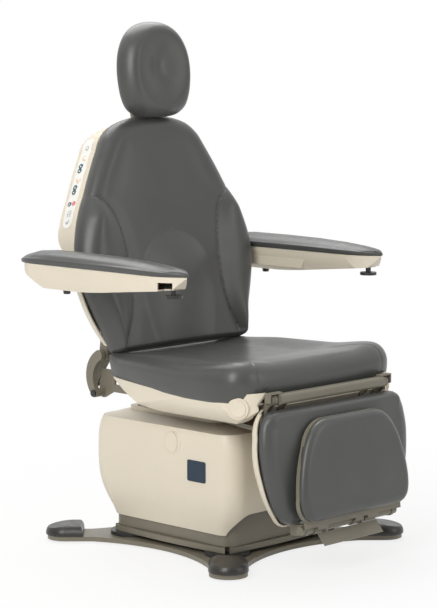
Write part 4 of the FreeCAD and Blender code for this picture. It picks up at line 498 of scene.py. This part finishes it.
# A seam is a broad dip with a narrow groove in it, and both fade out over its last points.
point_gap = 0.003
least_points = 12
least_hits = 4
dip_share = 0.65
groove_share = 0.35
groove_width_share = 0.3
dip_reach_shares = 3
refined_shares = 2.2
fade_points = 6
end_depth_share = 0.25
thread_sink_share = 0.86
thread_lift = 0.0003
thread_passes = 6


def length_of(line):
    return sum((b - a).length for a, b in zip(line, line[1:]))


def sew(piece, name, points, direction, depth=None, width=None, thread=True):
    # Draws a seam into a cushion along a line of points, and lays its thread in it.
    depth = sizes().seam_depth if depth is None else depth
    width = sizes().seam_width if width is None else width
    line = smooth_through(points, closed=False, per_span=14)
    line = evenly(line, max(least_points, int(length_of(line) / point_gap)), False)
    hits = laid_on(piece, line, direction)
    path = [hit for hit, _ in hits]
    if len(path) < least_hits:
        raise RuntimeError("the seam " + name + " misses its cushion")
    refine_near(piece, path, reach=width * refined_shares, cuts=2)
    tree = KDTree(len(path))
    for index, point in enumerate(path):
        tree.insert(point, index)
    tree.balance()
    piece.data.update()
    normals = [v.normal.copy() for v in piece.data.vertices]
    last = len(path) - 1
    for vertex, normal in zip(piece.data.vertices, normals):
        _, index, distance = tree.find(vertex.co)
        if distance < width * dip_reach_shares:
            fade = min(1, index / fade_points, (last - index) / fade_points)
            dip = dip_share * math.exp(-(distance / width) ** 2)
            groove = groove_share * math.exp(-(distance / (width * groove_width_share)) ** 2)
            vertex.co -= normal * (depth * (dip + groove)) * (end_depth_share + (1 - end_depth_share) * fade)
    if not thread:
        return None
    sunk = [hit - normal * (depth * thread_sink_share - thread_lift) for hit, normal in hits]
    for _ in range(thread_passes):
        inner = [(a + b * 2 + c) / 4 for a, b, c in zip(sunk, sunk[1:], sunk[2:])]
        sunk = [sunk[0]] + inner + [sunk[-1]]
    return round_line(name, sunk, sizes().thread, "upholstery")


def round_line(name, points, radius, finish, closed=False):
    curve = bpy.data.curves.new(name, "CURVE")
    curve.dimensions = "3D"
    spline = curve.splines.new("POLY")
    spline.points.add(len(points) - 1)
    for target, point in zip(spline.points, points):
        target.co = (point.x, point.y, point.z, 1)
    spline.use_cyclic_u = closed
    curve.bevel_depth = radius
    curve.bevel_resolution = 2
    curve.use_fill_caps = True
    piece = bpy.data.objects.new(name, curve)
    bpy.context.scene.collection.objects.link(piece)
    curve.materials.append(finishes[finish])
    return piece


def padded_piece(piece, body, node):
    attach(piece, body)
    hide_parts(node)


def trim_piece(piece, body):
    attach(piece, body)
    return piece


def smoothstep(low, high, value):
    share = min(1, max(0, (value - low) / (high - low)))
    return share * share * (3 - 2 * share)


def mound(x, y, centre_x, centre_y, reach_x, reach_y):
    return math.exp(-((x - centre_x) / reach_x) ** 2 - ((y - centre_y) / reach_y) ** 2)


def leaning(lean, y, z):
    # A frame that leans rearward by an angle in degrees: its place function and its rearward direction.
    angle = math.radians(lean)
    c = math.cos(angle)
    s = math.sin(angle)

    def place(a, b, depth):
        return Vector((a, y + depth * c + b * s, z + b * c - depth * s))

    return place, Vector((0, c, -s))


back_place, back_rearward = leaning(lean=11, y=0.180, z=0.516)
leg_place, _ = leaning(lean=7, y=-0.358, z=0.435)
head_place, _ = leaning(lean=5, y=0.270, z=1.228)


# Back cushion: a tall panel with two sewn side lobes and a raised small of the back

back_tall = 0.597
back_rim = [
    (0.0, -0.0165), (0.120, -0.0170), (0.200, -0.0180), (0.228, -0.0185), (0.2385, -0.012), (0.246, 0.010),
    (0.262, 0.050), (0.284, 0.102), (0.301, 0.150), (0.310, 0.190), (0.314, 0.225), (0.3085, 0.268),
    (0.299, 0.303), (0.2877, 0.334), (0.2700, 0.370), (0.254, 0.397), (0.224, 0.454), (0.188, 0.514),
    (0.165, 0.548), (0.131, 0.574), (0.090, 0.588), (0.045, 0.5955), (0.0, 0.597),
]
back_seam = [
    (0.286, 0.3985), (0.268, 0.3965), (0.248, 0.392), (0.222, 0.378), (0.197, 0.350), (0.180, 0.306),
    (0.170, 0.257), (0.167, 0.205), (0.167, 0.150), (0.172, 0.100), (0.186, 0.055), (0.201, 0.024),
    (0.212, 0.002),
]
seam_line_depth = -0.05
beyond_cushion = 0.4

# The back's face, by depths that are negative towards the sitter: its middle and its fall to the sides, the
# raised small of the back, the side lobes, and the valleys along the seam and inside the upper rim
back_mid_depth = -0.041
back_side_fall = 0.009
dome_centre = 0.155
dome_half_width = 0.132
dome_above = 0.130
dome_below = 0.260
dome_height = 0.021
dome_power = 1.12
lobe_height = 0.020
lobe_span_share = 0.84
lobe_power = 1.5
lobe_least_width = 0.02
seam_valley = 0.002
rim_valley = 0.0022


def seam_half_width(s):
    # How far out the side seam runs at a height up the back.
    if s >= back_seam[0][1]:
        return back_seam[0][0] + beyond_cushion
    for (x1, s1), (x2, s2) in zip(back_seam[:-1], back_seam[1:]):
        if s2 <= s <= s1:
            return x2 + (x1 - x2) * (s - s2) / (s1 - s2)
    return back_seam[-1][0]


def between(pairs, place):
    # The value at a place, straight between (place, value) pairs in rising order.
    if place <= pairs[0][0]:
        return pairs[0][1]
    for (p0, v0), (p1, v1) in zip(pairs[:-1], pairs[1:]):
        if place <= p1:
            return v0 + (v1 - v0) * ((place - p0) / (p1 - p0))
    return pairs[-1][1]


def back_rim_half(s):
    return between([(b, a) for a, b in back_rim[4:]], s)


def back_face(x, s):
    half = abs(x)
    depth = back_mid_depth + back_side_fall * smoothstep(0.05, 0.30, half)
    rise = dome_above if s > dome_centre else dome_below
    dome = 1 - (x / dome_half_width) ** 2 - ((s - dome_centre) / rise) ** 2
    if dome > 0:
        depth -= dome_height * dome ** dome_power
    edge = seam_half_width(s)
    rim = back_rim_half(s)
    if half > edge:
        share = min(1, (half - edge) / max(lobe_least_width, rim - edge))
        swell = math.sin(math.pi * min(1, share * lobe_span_share)) ** lobe_power
        depth -= lobe_height * swell * smoothstep(0.405, 0.330, s) * smoothstep(-0.09, 0.05, s)
    else:
        depth += seam_valley * smoothstep(0.045, 0.0, edge - half) * smoothstep(0.42, 0.35, s)
    inside = min(rim - half, back_tall - s + 0.004)
    depth += rim_valley * smoothstep(0.36, 0.44, s) * mound(inside, 0, 0.066, 0, 0.030, 1)
    return depth


def back_front_inset(p):
    return 0.014 + 0.026 * smoothstep(-0.012, 0.075, p.y)


class CHAIR_OT_back_cushion(Operator):
    """Make the back cushion with its side lobes and seams"""
    bl_idname = "chair.back_cushion"
    bl_label = "Back cushion"

    def execute(self, context):
        cushion = cushion_form(
            "back_cushion_cover", mirrored_loop(back_rim), toward(0.27), back_face, back_place,
            base=0.0135, widest=-0.004, rear=0.004, front=back_front_inset)
        for side, sign in (("left", 1), ("right", -1)):
            line = [back_place(x * sign, s, seam_line_depth) for x, s in back_seam]
            thread = sew(cushion, "back_seam_" + side, line, back_rearward)
            trim_piece(thread, "back")
        padded_piece(cushion, "back", "back_cushion")
        return {"FINISHED"}


# Seat cushion: dished top, full front roll and a seam at each front corner

seat_rim = [
    (0.0, -0.345), (0.100, -0.3445), (0.180, -0.3415), (0.235, -0.3365), (0.268, -0.3255), (0.291, -0.303),
    (0.302, -0.272), (0.3065, -0.230), (0.3065, -0.180), (0.3035, -0.110), (0.2955, -0.040), (0.2850, 0.030),
    (0.2720, 0.095), (0.2590, 0.150), (0.2500, 0.174), (0.2360, 0.186), (0.2100, 0.190), (0.120, 0.190),
    (0.0, 0.190),
]

seat_mid_height = 0.5010
seat_side_rise = 0.008
seat_front_roll = 0.016
seat_dish = 0.007
seat_rear_fall = 0.006


def seat_face(x, y):
    top = seat_mid_height + seat_side_rise * smoothstep(0.14, 0.25, abs(x))
    top += seat_front_roll * smoothstep(-0.12, -0.29, y)
    top -= seat_dish * mound(x, y, 0.0, -0.02, 0.20, 0.15)
    top -= seat_rear_fall * smoothstep(0.02, 0.15, y)
    return top


def seat_tuck(p):
    # The rear edge tucks in under the cushion, clear of the back frame when it is laid down.
    return smoothstep(0.130, 0.184, p.y)


def seat_rear_inset(p):
    return 0.014 + 0.023 * seat_tuck(p)


def seat_widest(p):
    return 0.474 + 0.019 * seat_tuck(p)


seam_depth_front = 0.0018
seam_width_front = 0.0034
crease_depth = 0.0016
crease_width = 0.0028
seat_corner_seam = [
    (0.188, -0.235, 0.54), (0.206, -0.268, 0.54), (0.221, -0.300, 0.53), (0.232, -0.325, 0.510),
    (0.236, -0.341, 0.482), (0.235, -0.343, 0.455), (0.232, -0.340, 0.437),
]
seat_creases = [
    [(0.214, -0.346, 0.452), (0.206, -0.349, 0.458), (0.196, -0.350, 0.461)],
    [(0.222, -0.344, 0.446), (0.210, -0.347, 0.450), (0.194, -0.349, 0.452)],
    [(0.234, -0.341, 0.441), (0.222, -0.345, 0.441), (0.208, -0.347, 0.443)],
]


def seat_place(a, b, height):
    return Vector((a, b, height))


class CHAIR_OT_seat_cushion(Operator):
    """Make the seat cushion with its corner seams"""
    bl_idname = "chair.seat_cushion"
    bl_label = "Seat cushion"

    def execute(self, context):
        cushion = cushion_form(
            "seat_cushion_cover", mirrored_loop(seat_rim), toward(-0.08), seat_face, seat_place,
            base=0.4245, widest=seat_widest, rear=seat_rear_inset, front=0.044)
        for side, sign in (("left", 1), ("right", -1)):
            line = [Vector((x * sign, y, z)) for x, y, z in seat_corner_seam]
            into_corner = Vector((-0.25 * sign, 0.72, -0.64)).normalized()
            thread = sew(
                cushion, "seat_seam_" + side, line, into_corner, seam_depth_front, seam_width_front)
            trim_piece(thread, "seat")
            for crease in seat_creases:
                line = [Vector((x * sign, y, z)) for x, y, z in crease]
                sew(cushion, "seat_crease", line, Vector((0, 1, 0)), crease_depth, crease_width, False)
        padded_piece(cushion, "seat", "seat_cushion")
        return {"FINISHED"}


# Headrest cushion: a dished oval with a rolled rim

head_rim = [
    (0.0, -0.1285), (0.040, -0.128), (0.072, -0.1220), (0.097, -0.1050), (0.112, -0.075), (0.1190, -0.038),
    (0.1205, -0.002), (0.1165, 0.032), (0.1065, 0.062), (0.087, 0.092), (0.062, 0.111), (0.032, 0.1215),
    (0.0, 0.124),
]

head_mid_depth = -0.048
head_dish = 0.022
head_rim_fall = 0.010


def head_face(x, z):
    dish = mound(x, z, 0.0, 0.004, 0.052, 0.066)
    fall = smoothstep(0.085, 0.14, math.hypot(x, z * 0.95))
    return head_mid_depth + head_dish * dish + head_rim_fall * fall


class CHAIR_OT_headrest_cushion(Operator):
    """Make the dished headrest cushion"""
    bl_idname = "chair.headrest_cushion"
    bl_label = "Headrest cushion"

    def execute(self, context):
        cushion = cushion_form(
            "headrest_cushion_cover", mirrored_loop(head_rim), toward(0), head_face, head_place,
            base=0.0155, widest=-0.002, rear=0.009, front=0.030)
        padded_piece(cushion, "headrest", "headrest_cushion")
        return {"FINISHED"}


# Leg rest and foot panel cushions

leg_rim = [
    (0.0, -0.309), (0.110, -0.309), (0.185, -0.3085), (0.208, -0.303), (0.226, -0.289), (0.242, -0.262),
    (0.2535, -0.230), (0.2635, -0.194), (0.2690, -0.155), (0.2710, -0.120), (0.2670, -0.085),
    (0.2600, -0.058), (0.2440, -0.036), (0.2230, -0.0270), (0.205, -0.0262), (0.110, -0.0262),
    (0.0, -0.0262),
]
panel_rim = [
    (0.0, -0.3045), (0.080, -0.3045), (0.152, -0.304), (0.176, -0.3005), (0.192, -0.288), (0.2000, -0.268),
    (0.2020, -0.240), (0.1985, -0.207), (0.1902, -0.170), (0.1770, -0.131), (0.1625, -0.104),
    (0.1440, -0.0805), (0.1210, -0.065), (0.0910, -0.0582), (0.045, -0.0567), (0.0, -0.0562),
]


def leg_front_inset(p):
    # Draws in less along the top edge, so that the front stands close under the hinge bar.
    return 0.038 - 0.022 * smoothstep(-0.060, -0.030, p.y)


def leg_face(x, z):
    return -0.041 + 0.010 * smoothstep(0.12, 0.25, abs(x)) + 0.005 * smoothstep(-0.10, -0.30, z)


def panel_face(x, z):
    return -0.0795 + 0.003 * smoothstep(0.05, 0.18, abs(x)) + 0.004 * mound(x, z, 0, -0.30, 0.2, 0.06)


class CHAIR_OT_legrest_cushions(Operator):
    """Make the leg rest cushion and the foot panel cushion"""
    bl_idname = "chair.legrest_cushions"
    bl_label = "Leg rest cushions"

    def execute(self, context):
        cushion = cushion_form(
            "legrest_cushion_cover", mirrored_loop(leg_rim), toward(-0.16, across=0.1), leg_face, leg_place,
            base=0.0015, widest=-0.008, rear=0.003, front=leg_front_inset)
        padded_piece(cushion, "legrest", "legrest_cushion")
        cushion = cushion_form(
            "foot_cushion_cover", mirrored_loop(panel_rim), toward(-0.19, across=0.1), panel_face, leg_place,
            base=-0.0500, widest=-0.0615, rear=0.004, front=0.021)
        padded_piece(cushion, "foot_panel", "foot_cushion")
        return {"FINISHED"}


# Arm pads

arm_plan = [
    (0.0, -0.2265), (0.0120, -0.2145), (0.0205, -0.2030), (0.0285, -0.1890), (0.0370, -0.1660),
    (0.0425, -0.1430), (0.0458, -0.1100), (0.046, -0.050), (0.046, 0.100), (0.046, 0.240), (0.0455, 0.290),
    (0.042, 0.322), (0.034, 0.344), (0.019, 0.357), (0.0, 0.360),
]
arm_crest = [
    (-0.2265, 0.0065), (-0.220, 0.0105), (-0.210, 0.0145), (-0.190, 0.0190), (-0.160, 0.0232),
    (-0.094, 0.0290), (0.0, 0.0335), (0.12, 0.0355), (0.24, 0.0355), (0.300, 0.0310), (0.340, 0.0210),
    (0.360, 0.0130),
]
arm_seat_z = 0.737
arm_centre_x = 0.365
arm_crown_fall = 0.010
arm_crown_reach = 0.034
arm_edge_share = 0.45
arm_edge_height = 0.011
arm_spine_front = -0.150
arm_spine_rear = 0.290


def arm_face(x, y):
    height = between(arm_crest, y)
    return arm_seat_z + height - min(height * arm_edge_share, arm_crown_fall * (x / arm_crown_reach) ** 2)


def arm_widest(p):
    return arm_seat_z + min(arm_edge_height, between(arm_crest, p.y) * arm_edge_share)


def arm_inset(p):
    return 0.004 + 0.010 * smoothstep(-0.225, -0.10, p.y)


class CHAIR_OT_arm_pads(Operator):
    """Make both arm pads"""
    bl_idname = "chair.arm_pads"
    bl_label = "Arm pads"

    def execute(self, context):
        for side, sign in (("left", 1), ("right", -1)):
            pad = cushion_form(
                "arm_pad_cover_" + side, mirrored_loop(arm_plan),
                lambda p: Vector((p.x * 0.02, min(arm_spine_rear, max(arm_spine_front, p.y)))), arm_face,
                lambda a, b, h, sign=sign: Vector((sign * arm_centre_x + a, b, h)),
                base=arm_seat_z + 0.0004, widest=arm_widest, rear=0.002, front=arm_inset)
            padded_piece(pad, "arm_" + side, "arm_pad_" + side)
        return {"FINISHED"}


# Prints on the keypad and its keys

# Places on the keypad are in mm: across it from its middle, towards the front, and up the back.
mm_per_metre = 1000
keypad_depth = 48
print_cast_from = -0.40
print_lift = 0.0002
key_centres = {"recline_key": (-4, 472), "lift_key": (-4, 417), "home_key": (-8, 381), "stop_key": (8, 381)}


def printed(name, strokes, body, finish, on):
    # Lays thin prints on a piece. A stroke is its points and its width, or 0 for a filled outline.
    surface = surface_of(nodes[on])
    points = []
    faces = []

    def lay(across, up):
        start = back_place(print_cast_from, up / mm_per_metre, (keypad_depth - across) / mm_per_metre)
        hit, normal, _, _ = surface.ray_cast(start, Vector((1, 0, 0)))
        if hit is None:
            raise RuntimeError(f"the print {name} misses its piece at {across:.1f}, {up:.1f}")
        points.append(hit + normal * (-print_lift if normal.x > 0 else print_lift))
        return len(points) - 1

    for outline, width in strokes:
        if width == 0:
            faces.append([lay(*p) for p in outline])
            continue
        line = [Vector(p) for p in outline]
        edge = []
        for index, point in enumerate(line):
            along = (line[min(index + 1, len(line) - 1)] - line[max(index - 1, 0)]).normalized()
            side = Vector((-along.y, along.x)) * (width / 2)
            edge.append((lay(*(point + side)), lay(*(point - side))))
        for (a, b), (c, d) in zip(edge[:-1], edge[1:]):
            faces.append([a, b, d, c])
    piece = mesh_piece(name, points, faces, finish, smooth=False)
    return trim_piece(piece, body)


def arc(across, up, radius, start, end, steps=14):
    turns = [math.radians(start + (end - start) * k / steps) for k in range(steps + 1)]
    return [(across + radius * math.cos(turn), up + radius * math.sin(turn)) for turn in turns]


arrow_half_width_share = 0.7


def arrow(across, up, tall, sign):
    # A filled arrowhead; sign 1 points up and -1 down.
    half = tall / 2
    reach = tall * arrow_half_width_share
    base = up - sign * half
    return ([(across - reach, base), (across + reach, base), (across, up + sign * half)], 0)


numeral_stroke = 0.8
numeral_width_share = 0.55
numeral_tall = 6


def numeral(value, across, up):
    wide = numeral_tall * numeral_width_share
    half = numeral_tall / 2
    foot = (-wide * 0.5, -half)
    elbow = (-wide * 0.5, -half * 0.35)
    shapes = {
        1: [[(-wide * 0.4, half * 0.5), (0, half)], [(0, half), (0, -half)]],
        2: [arc(0, half * 0.45, wide * 0.5, 165, -35, 8) + [foot], [foot, (wide * 0.5, -half)]],
        3: [arc(0, half * 0.47, wide * 0.45, 160, -90, 8), arc(0, -half * 0.47, wide * 0.48, 90, -160, 8)],
        4: [[(wide * 0.15, -half), (wide * 0.15, half)], [(wide * 0.15, half), elbow],
            [elbow, (wide * 0.5, -half * 0.35)]],
    }
    return shifted(across, up, [(line, numeral_stroke) for line in shapes[value]])


def shifted(across, up, strokes):
    return [([(across + a, up + b) for a, b in line], width) for line, width in strokes]


# Plain signs round their own middle, and where the middles of the keypad's signs lie
house_sign = [
    ([(-3.2, -0.4), (0, 2.8)], 1.1), ([(0, 2.8), (3.2, -0.4)], 1.1),
    ([(-2.1, 0), (-2.1, -3)], 1), ([(-2.1, -3), (2.1, -3)], 1), ([(2.1, -3), (2.1, 0)], 1),
]
reclined_sign = [
    ([(-6, -3), (1, -3)], 2), ([(1, -3), (5, -6)], 1.6), ([(-6, -3), (-10, 4)], 2),
    (arc(-6, -3, 10.5, 110, 55), 1.1),
]
raised_sign = [
    ([(-5, -1), (3, -1)], 2), ([(-5, -1), (-8, 5)], 2), ([(-1, -2), (-1, -6)], 1.8),
    ([(-5, -6), (3, -6)], 1.5), arrow(7, 2.6, 3.6, 1), arrow(7, -2.6, 3.6, -1),
]
lamp_sign = [
    (arc(0, 0, 5.2, -30, 210), 1), ([(-4.5, -2.6), (4.5, -2.6)], 1), ([(-2.4, -5), (2.4, -5)], 1),
]
basin_sign = [(arc(-1, 0, 4.4, 180, 360), 1.8), ([(-6, 0.6), (4, 0.6)], 1.2), ([(3, 2), (7, 5)], 1.4)]
preset_grid = [([(-10, 0), (10, 0)], 0.6), ([(0, -9), (0, 9)], 0.6)]
preset_offsets = ((-5, 4.8), (5, 4.8), (-5, -4.8), (5, -4.8))
reclined_place = (3, 497)
raised_place = (1, 441)
lamp_sign_place = (1, 524)
preset_place = (0, 356)
basin_place = (0, 335)
arrow_offset = 7
arrow_tall = 5


class CHAIR_OT_keypad_prints(Operator):
    """Print the keypad's plain signs, arrows and preset numbers"""
    bl_idname = "chair.keypad_prints"
    bl_label = "Keypad prints"

    def execute(self, context):
        for key in ("recline_key", "lift_key"):
            across, up = key_centres[key]
            arrows = [arrow(across, up + arrow_offset * sign, arrow_tall, sign) for sign in (1, -1)]
            printed(key + "_arrows", arrows, key, "panel_film", key)
        ring = [(arc(*key_centres["stop_key"], 3.4, 0, 360, 20), 0.9)]
        printed("stop_key_ring", ring, "stop_key", "panel_film", "stop_key")
        house = shifted(*key_centres["home_key"], house_sign)
        printed("home_key_sign", house, "home_key", "panel_film", "home_key")
        amber = shifted(*reclined_place, reclined_sign) + shifted(*raised_place, raised_sign)
        printed("amber_signs", amber, "back", "key_amber", "keypad_panel")
        presets = list(preset_grid)
        for value, (across, up) in enumerate(preset_offsets, 1):
            presets += numeral(value, across, up)
        dark = shifted(*lamp_sign_place, lamp_sign)
        dark += shifted(*preset_place, presets) + shifted(*basin_place, basin_sign)
        printed("dark_signs", dark, "back", "key_blue", "keypad_panel")
        return {"FINISHED"}


# Moulded outline of the round cover on each side of the shroud

cap_place = (-0.035, 0.292)
cap_outline = 0.0285
cap_bead = 0.0007
cap_bead_lift = 0.0001
outside_shroud = 0.5


class CHAIR_OT_cover_outlines(Operator):
    """Draw the moulded outline of the round covers on the shroud"""
    bl_idname = "chair.cover_outlines"
    bl_label = "Cover outlines"

    def execute(self, context):
        surface = surface_of(nodes["base_shroud"])
        for side, sign in (("left", 1), ("right", -1)):
            points = []
            for y, z in arc(*cap_place, cap_outline, 0, 354, 59):
                hit = surface.ray_cast(Vector((outside_shroud * sign, y, z)), Vector((-sign, 0, 0)))[0]
                points.append(hit + Vector((cap_bead_lift * sign, 0, 0)))
            bead = round_line("cover_outline_" + side, points, cap_bead, "cover_plastic", True)
            trim_piece(bead, "turntable")
        return {"FINISHED"}


# Finishes of the frame, covers and mechanism

class CHAIR_OT_finishes(Operator):
    """Give every solid of the chair its finish"""
    bl_idname = "chair.finishes"
    bl_label = "Finishes"

    def execute(self, context):
        make_finishes()
        slot_of = {entry["node"]: entry["material_slot"] for entry in frame["record"]["subparts"]}
        for name, piece in nodes.items():
            finish = finishes[slot_of[name]]
            if not piece.material_slots:
                piece.data.materials.append(finish)
            for slot in piece.material_slots:
                slot.material = finish
        return {"FINISHED"}


# Stage: floor, light and camera

floor_reach = 14.0
floor_white = (0.86, 0.86, 0.86)
white = (1, 1, 1, 1)

# The camera and mirrors see this share of the floor as plain white near the chair, and all of it far out.
near_share = 0.80
fade_reach = (0.55, 1.5)

# Reflections find the room bright above and behind the chair and dim in front of it.
bright_way = (0.42, 0.45, 0.79)
bright_span = (-0.35, 0.65)

# Each lamp: its name, place, what it faces, its size, the setting with its power, and its colour
lamps = [
    ("left_lamp", (-3.2, -1.2, 2.4), (0, 0, 0.8), (1.6, 2.6), "key_light", (1.0, 0.985, 0.96)),
    ("top_lamp", (0.6, 1.2, 3.2), (0, 0.0, 0.6), (2.4, 2.4), "top_light", (1.0, 1.0, 1.0)),
    ("right_lamp", (1.4, -3.6, 1.7), (0, -0.2, 0.5), (1.6, 2.2), "right_light", (1.0, 0.98, 0.95)),
]

# What the camera looks at: a height, and a way to the right of it
aim_height = 0.622
aim_right = -0.017
film_height = 36.0


def mixed(tree, share, plain, shown):
    node = tree.nodes.new("ShaderNodeMixShader")
    tree.links.new(share, node.inputs["Fac"])
    tree.links.new(plain, node.inputs[1])
    tree.links.new(shown, node.inputs[2])
    return node.outputs["Shader"]


def floor_material():
    material, tree, shader = shader_tree("floor")
    tinted(tree, shader, floor_white, noise(tree, place_on(tree), scale=3.0), low=0.99, high=1.01)
    shader.inputs["Roughness"].default_value = 0.7
    shader.inputs["Specular IOR Level"].default_value = 0.2
    glow = add(tree, "ShaderNodeEmission", Strength=1.0)
    path = tree.nodes.new("ShaderNodeLightPath").outputs
    seen = combined(tree, "MAXIMUM", path["Is Camera Ray"], path["Is Glossy Ray"])
    seen = combined(tree, "MAXIMUM", seen, path["Is Transmission Ray"])
    away = add(tree, "ShaderNodeVectorMath", operation="LENGTH")
    tree.links.new(tree.nodes.new("ShaderNodeTexCoord").outputs["Object"], away.inputs[0])
    fade = remap(tree, away.outputs["Value"], fade_reach, (near_share, 1.0))
    share = combined(tree, "MULTIPLY", seen, fade)
    result = mixed(tree, share, shader.outputs["BSDF"], glow.outputs["Emission"])
    tree.links.new(result, tree.nodes["Material Output"].inputs["Surface"])
    finishes["floor"] = material


def make_floor():
    floor_material()
    mesh = bpy.data.meshes.new("floor")
    r = floor_reach
    mesh.from_pydata([(-r, -r, 0), (r, -r, 0), (r, r, 0), (-r, r, 0)], [], [(0, 1, 2, 3)])
    floor = bpy.data.objects.new("floor", mesh)
    bpy.context.scene.collection.objects.link(floor)
    floor.data.materials.append(finishes["floor"])


def white_sky(strength):
    world = bpy.data.worlds.new("studio")
    bpy.context.scene.world = world
    world.use_nodes = True
    tree = world.node_tree
    even = tree.nodes["Background"]
    even.inputs["Color"].default_value = white
    even.inputs["Strength"].default_value = strength
    shown = add(tree, "ShaderNodeBackground", Color=white, Strength=1.0)
    path = tree.nodes.new("ShaderNodeLightPath").outputs
    turned = add(tree, "ShaderNodeVectorMath", operation="DOT_PRODUCT")
    tree.links.new(tree.nodes.new("ShaderNodeTexCoord").outputs["Generated"], turned.inputs[0])
    turned.inputs[1].default_value = bright_way
    bright = remap(tree, turned.outputs["Value"], bright_span, (0, 1))
    mirrored = combined(tree, "MULTIPLY", path["Is Glossy Ray"], bright)
    share = combined(tree, "MAXIMUM", path["Is Camera Ray"], mirrored)
    result = mixed(tree, share, even.outputs["Background"], shown.outputs["Background"])
    tree.links.new(result, tree.nodes["World Output"].inputs["Surface"])


def lamp(name, place, target, size, power, colour):
    data = bpy.data.lights.new(name, "AREA")
    data.shape = "RECTANGLE"
    data.size, data.size_y = size
    data.energy = power
    data.color = colour
    holder = bpy.data.objects.new(name, data)
    bpy.context.scene.collection.objects.link(holder)
    holder.location = place
    holder.rotation_euler = (Vector(target) - Vector(place)).to_track_quat("-Z", "Y").to_euler()


def make_camera(stage):
    camera = bpy.data.cameras.new("view")
    camera.sensor_fit = "VERTICAL"
    camera.sensor_height = film_height
    camera.lens = stage.lens
    holder = bpy.data.objects.new("view", camera)
    bpy.context.scene.collection.objects.link(holder)
    a = stage.azimuth
    e = stage.elevation
    forward = Vector((-math.sin(a) * math.cos(e), math.cos(a) * math.cos(e), -math.sin(e)))
    right = Vector((math.cos(a), math.sin(a), 0))
    holder.location = Vector((0, 0, aim_height)) + right * aim_right - forward * stage.distance
    holder.rotation_euler = forward.to_track_quat("-Z", "Y").to_euler()
    bpy.context.scene.camera = holder


class CHAIR_OT_stage(Operator):
    """Make the floor, the lamps, the sky and the camera"""
    bl_idname = "chair.stage"
    bl_label = "Stage"

    def execute(self, context):
        stage = context.scene.chair_stage
        make_floor()
        white_sky(stage.sky)
        for name, place, target, size, setting, colour in lamps:
            lamp(name, place, target, size, getattr(stage, setting), colour)
        make_camera(stage)
        context.scene.view_settings.view_transform = "Standard"
        return {"FINISHED"}


operators = [
    CHAIR_OT_finishes,
    CHAIR_OT_back_cushion,
    CHAIR_OT_seat_cushion,
    CHAIR_OT_headrest_cushion,
    CHAIR_OT_legrest_cushions,
    CHAIR_OT_arm_pads,
    CHAIR_OT_keypad_prints,
    CHAIR_OT_cover_outlines,
    CHAIR_OT_stage,
]


class CHAIR_PT_panel(Panel):
    """Lists the chair's pieces and their settings"""
    bl_idname = "CHAIR_PT_panel"
    bl_label = "Examination Chair"
    bl_space_type = "VIEW_3D"
    bl_region_type = "UI"
    bl_category = "Chair"

    def draw(self, context):
        for group in (context.scene.chair_colours, context.scene.chair_sizes, context.scene.chair_stage):
            column = self.layout.column()
            for name in group.__annotations__:
                column.prop(group, name)
        for operator in operators:
            self.layout.operator(operator.bl_idname)


classes = [ChairColours, ChairSizes, ChairStage] + operators + [CHAIR_PT_panel]


def register():
    for item in classes:
        bpy.utils.register_class(item)
    bpy.types.Scene.chair_colours = PointerProperty(type=ChairColours)
    bpy.types.Scene.chair_sizes = PointerProperty(type=ChairSizes)
    bpy.types.Scene.chair_stage = PointerProperty(type=ChairStage)


def unregister():
    del bpy.types.Scene.chair_stage
    del bpy.types.Scene.chair_sizes
    del bpy.types.Scene.chair_colours
    for item in reversed(classes):
        bpy.utils.unregister_class(item)


def main():
    register()
    for operator in operators:
        area, action = operator.bl_idname.split(".")
        getattr(getattr(bpy.ops, area), action)()


if __name__ == "__main__":
    main()
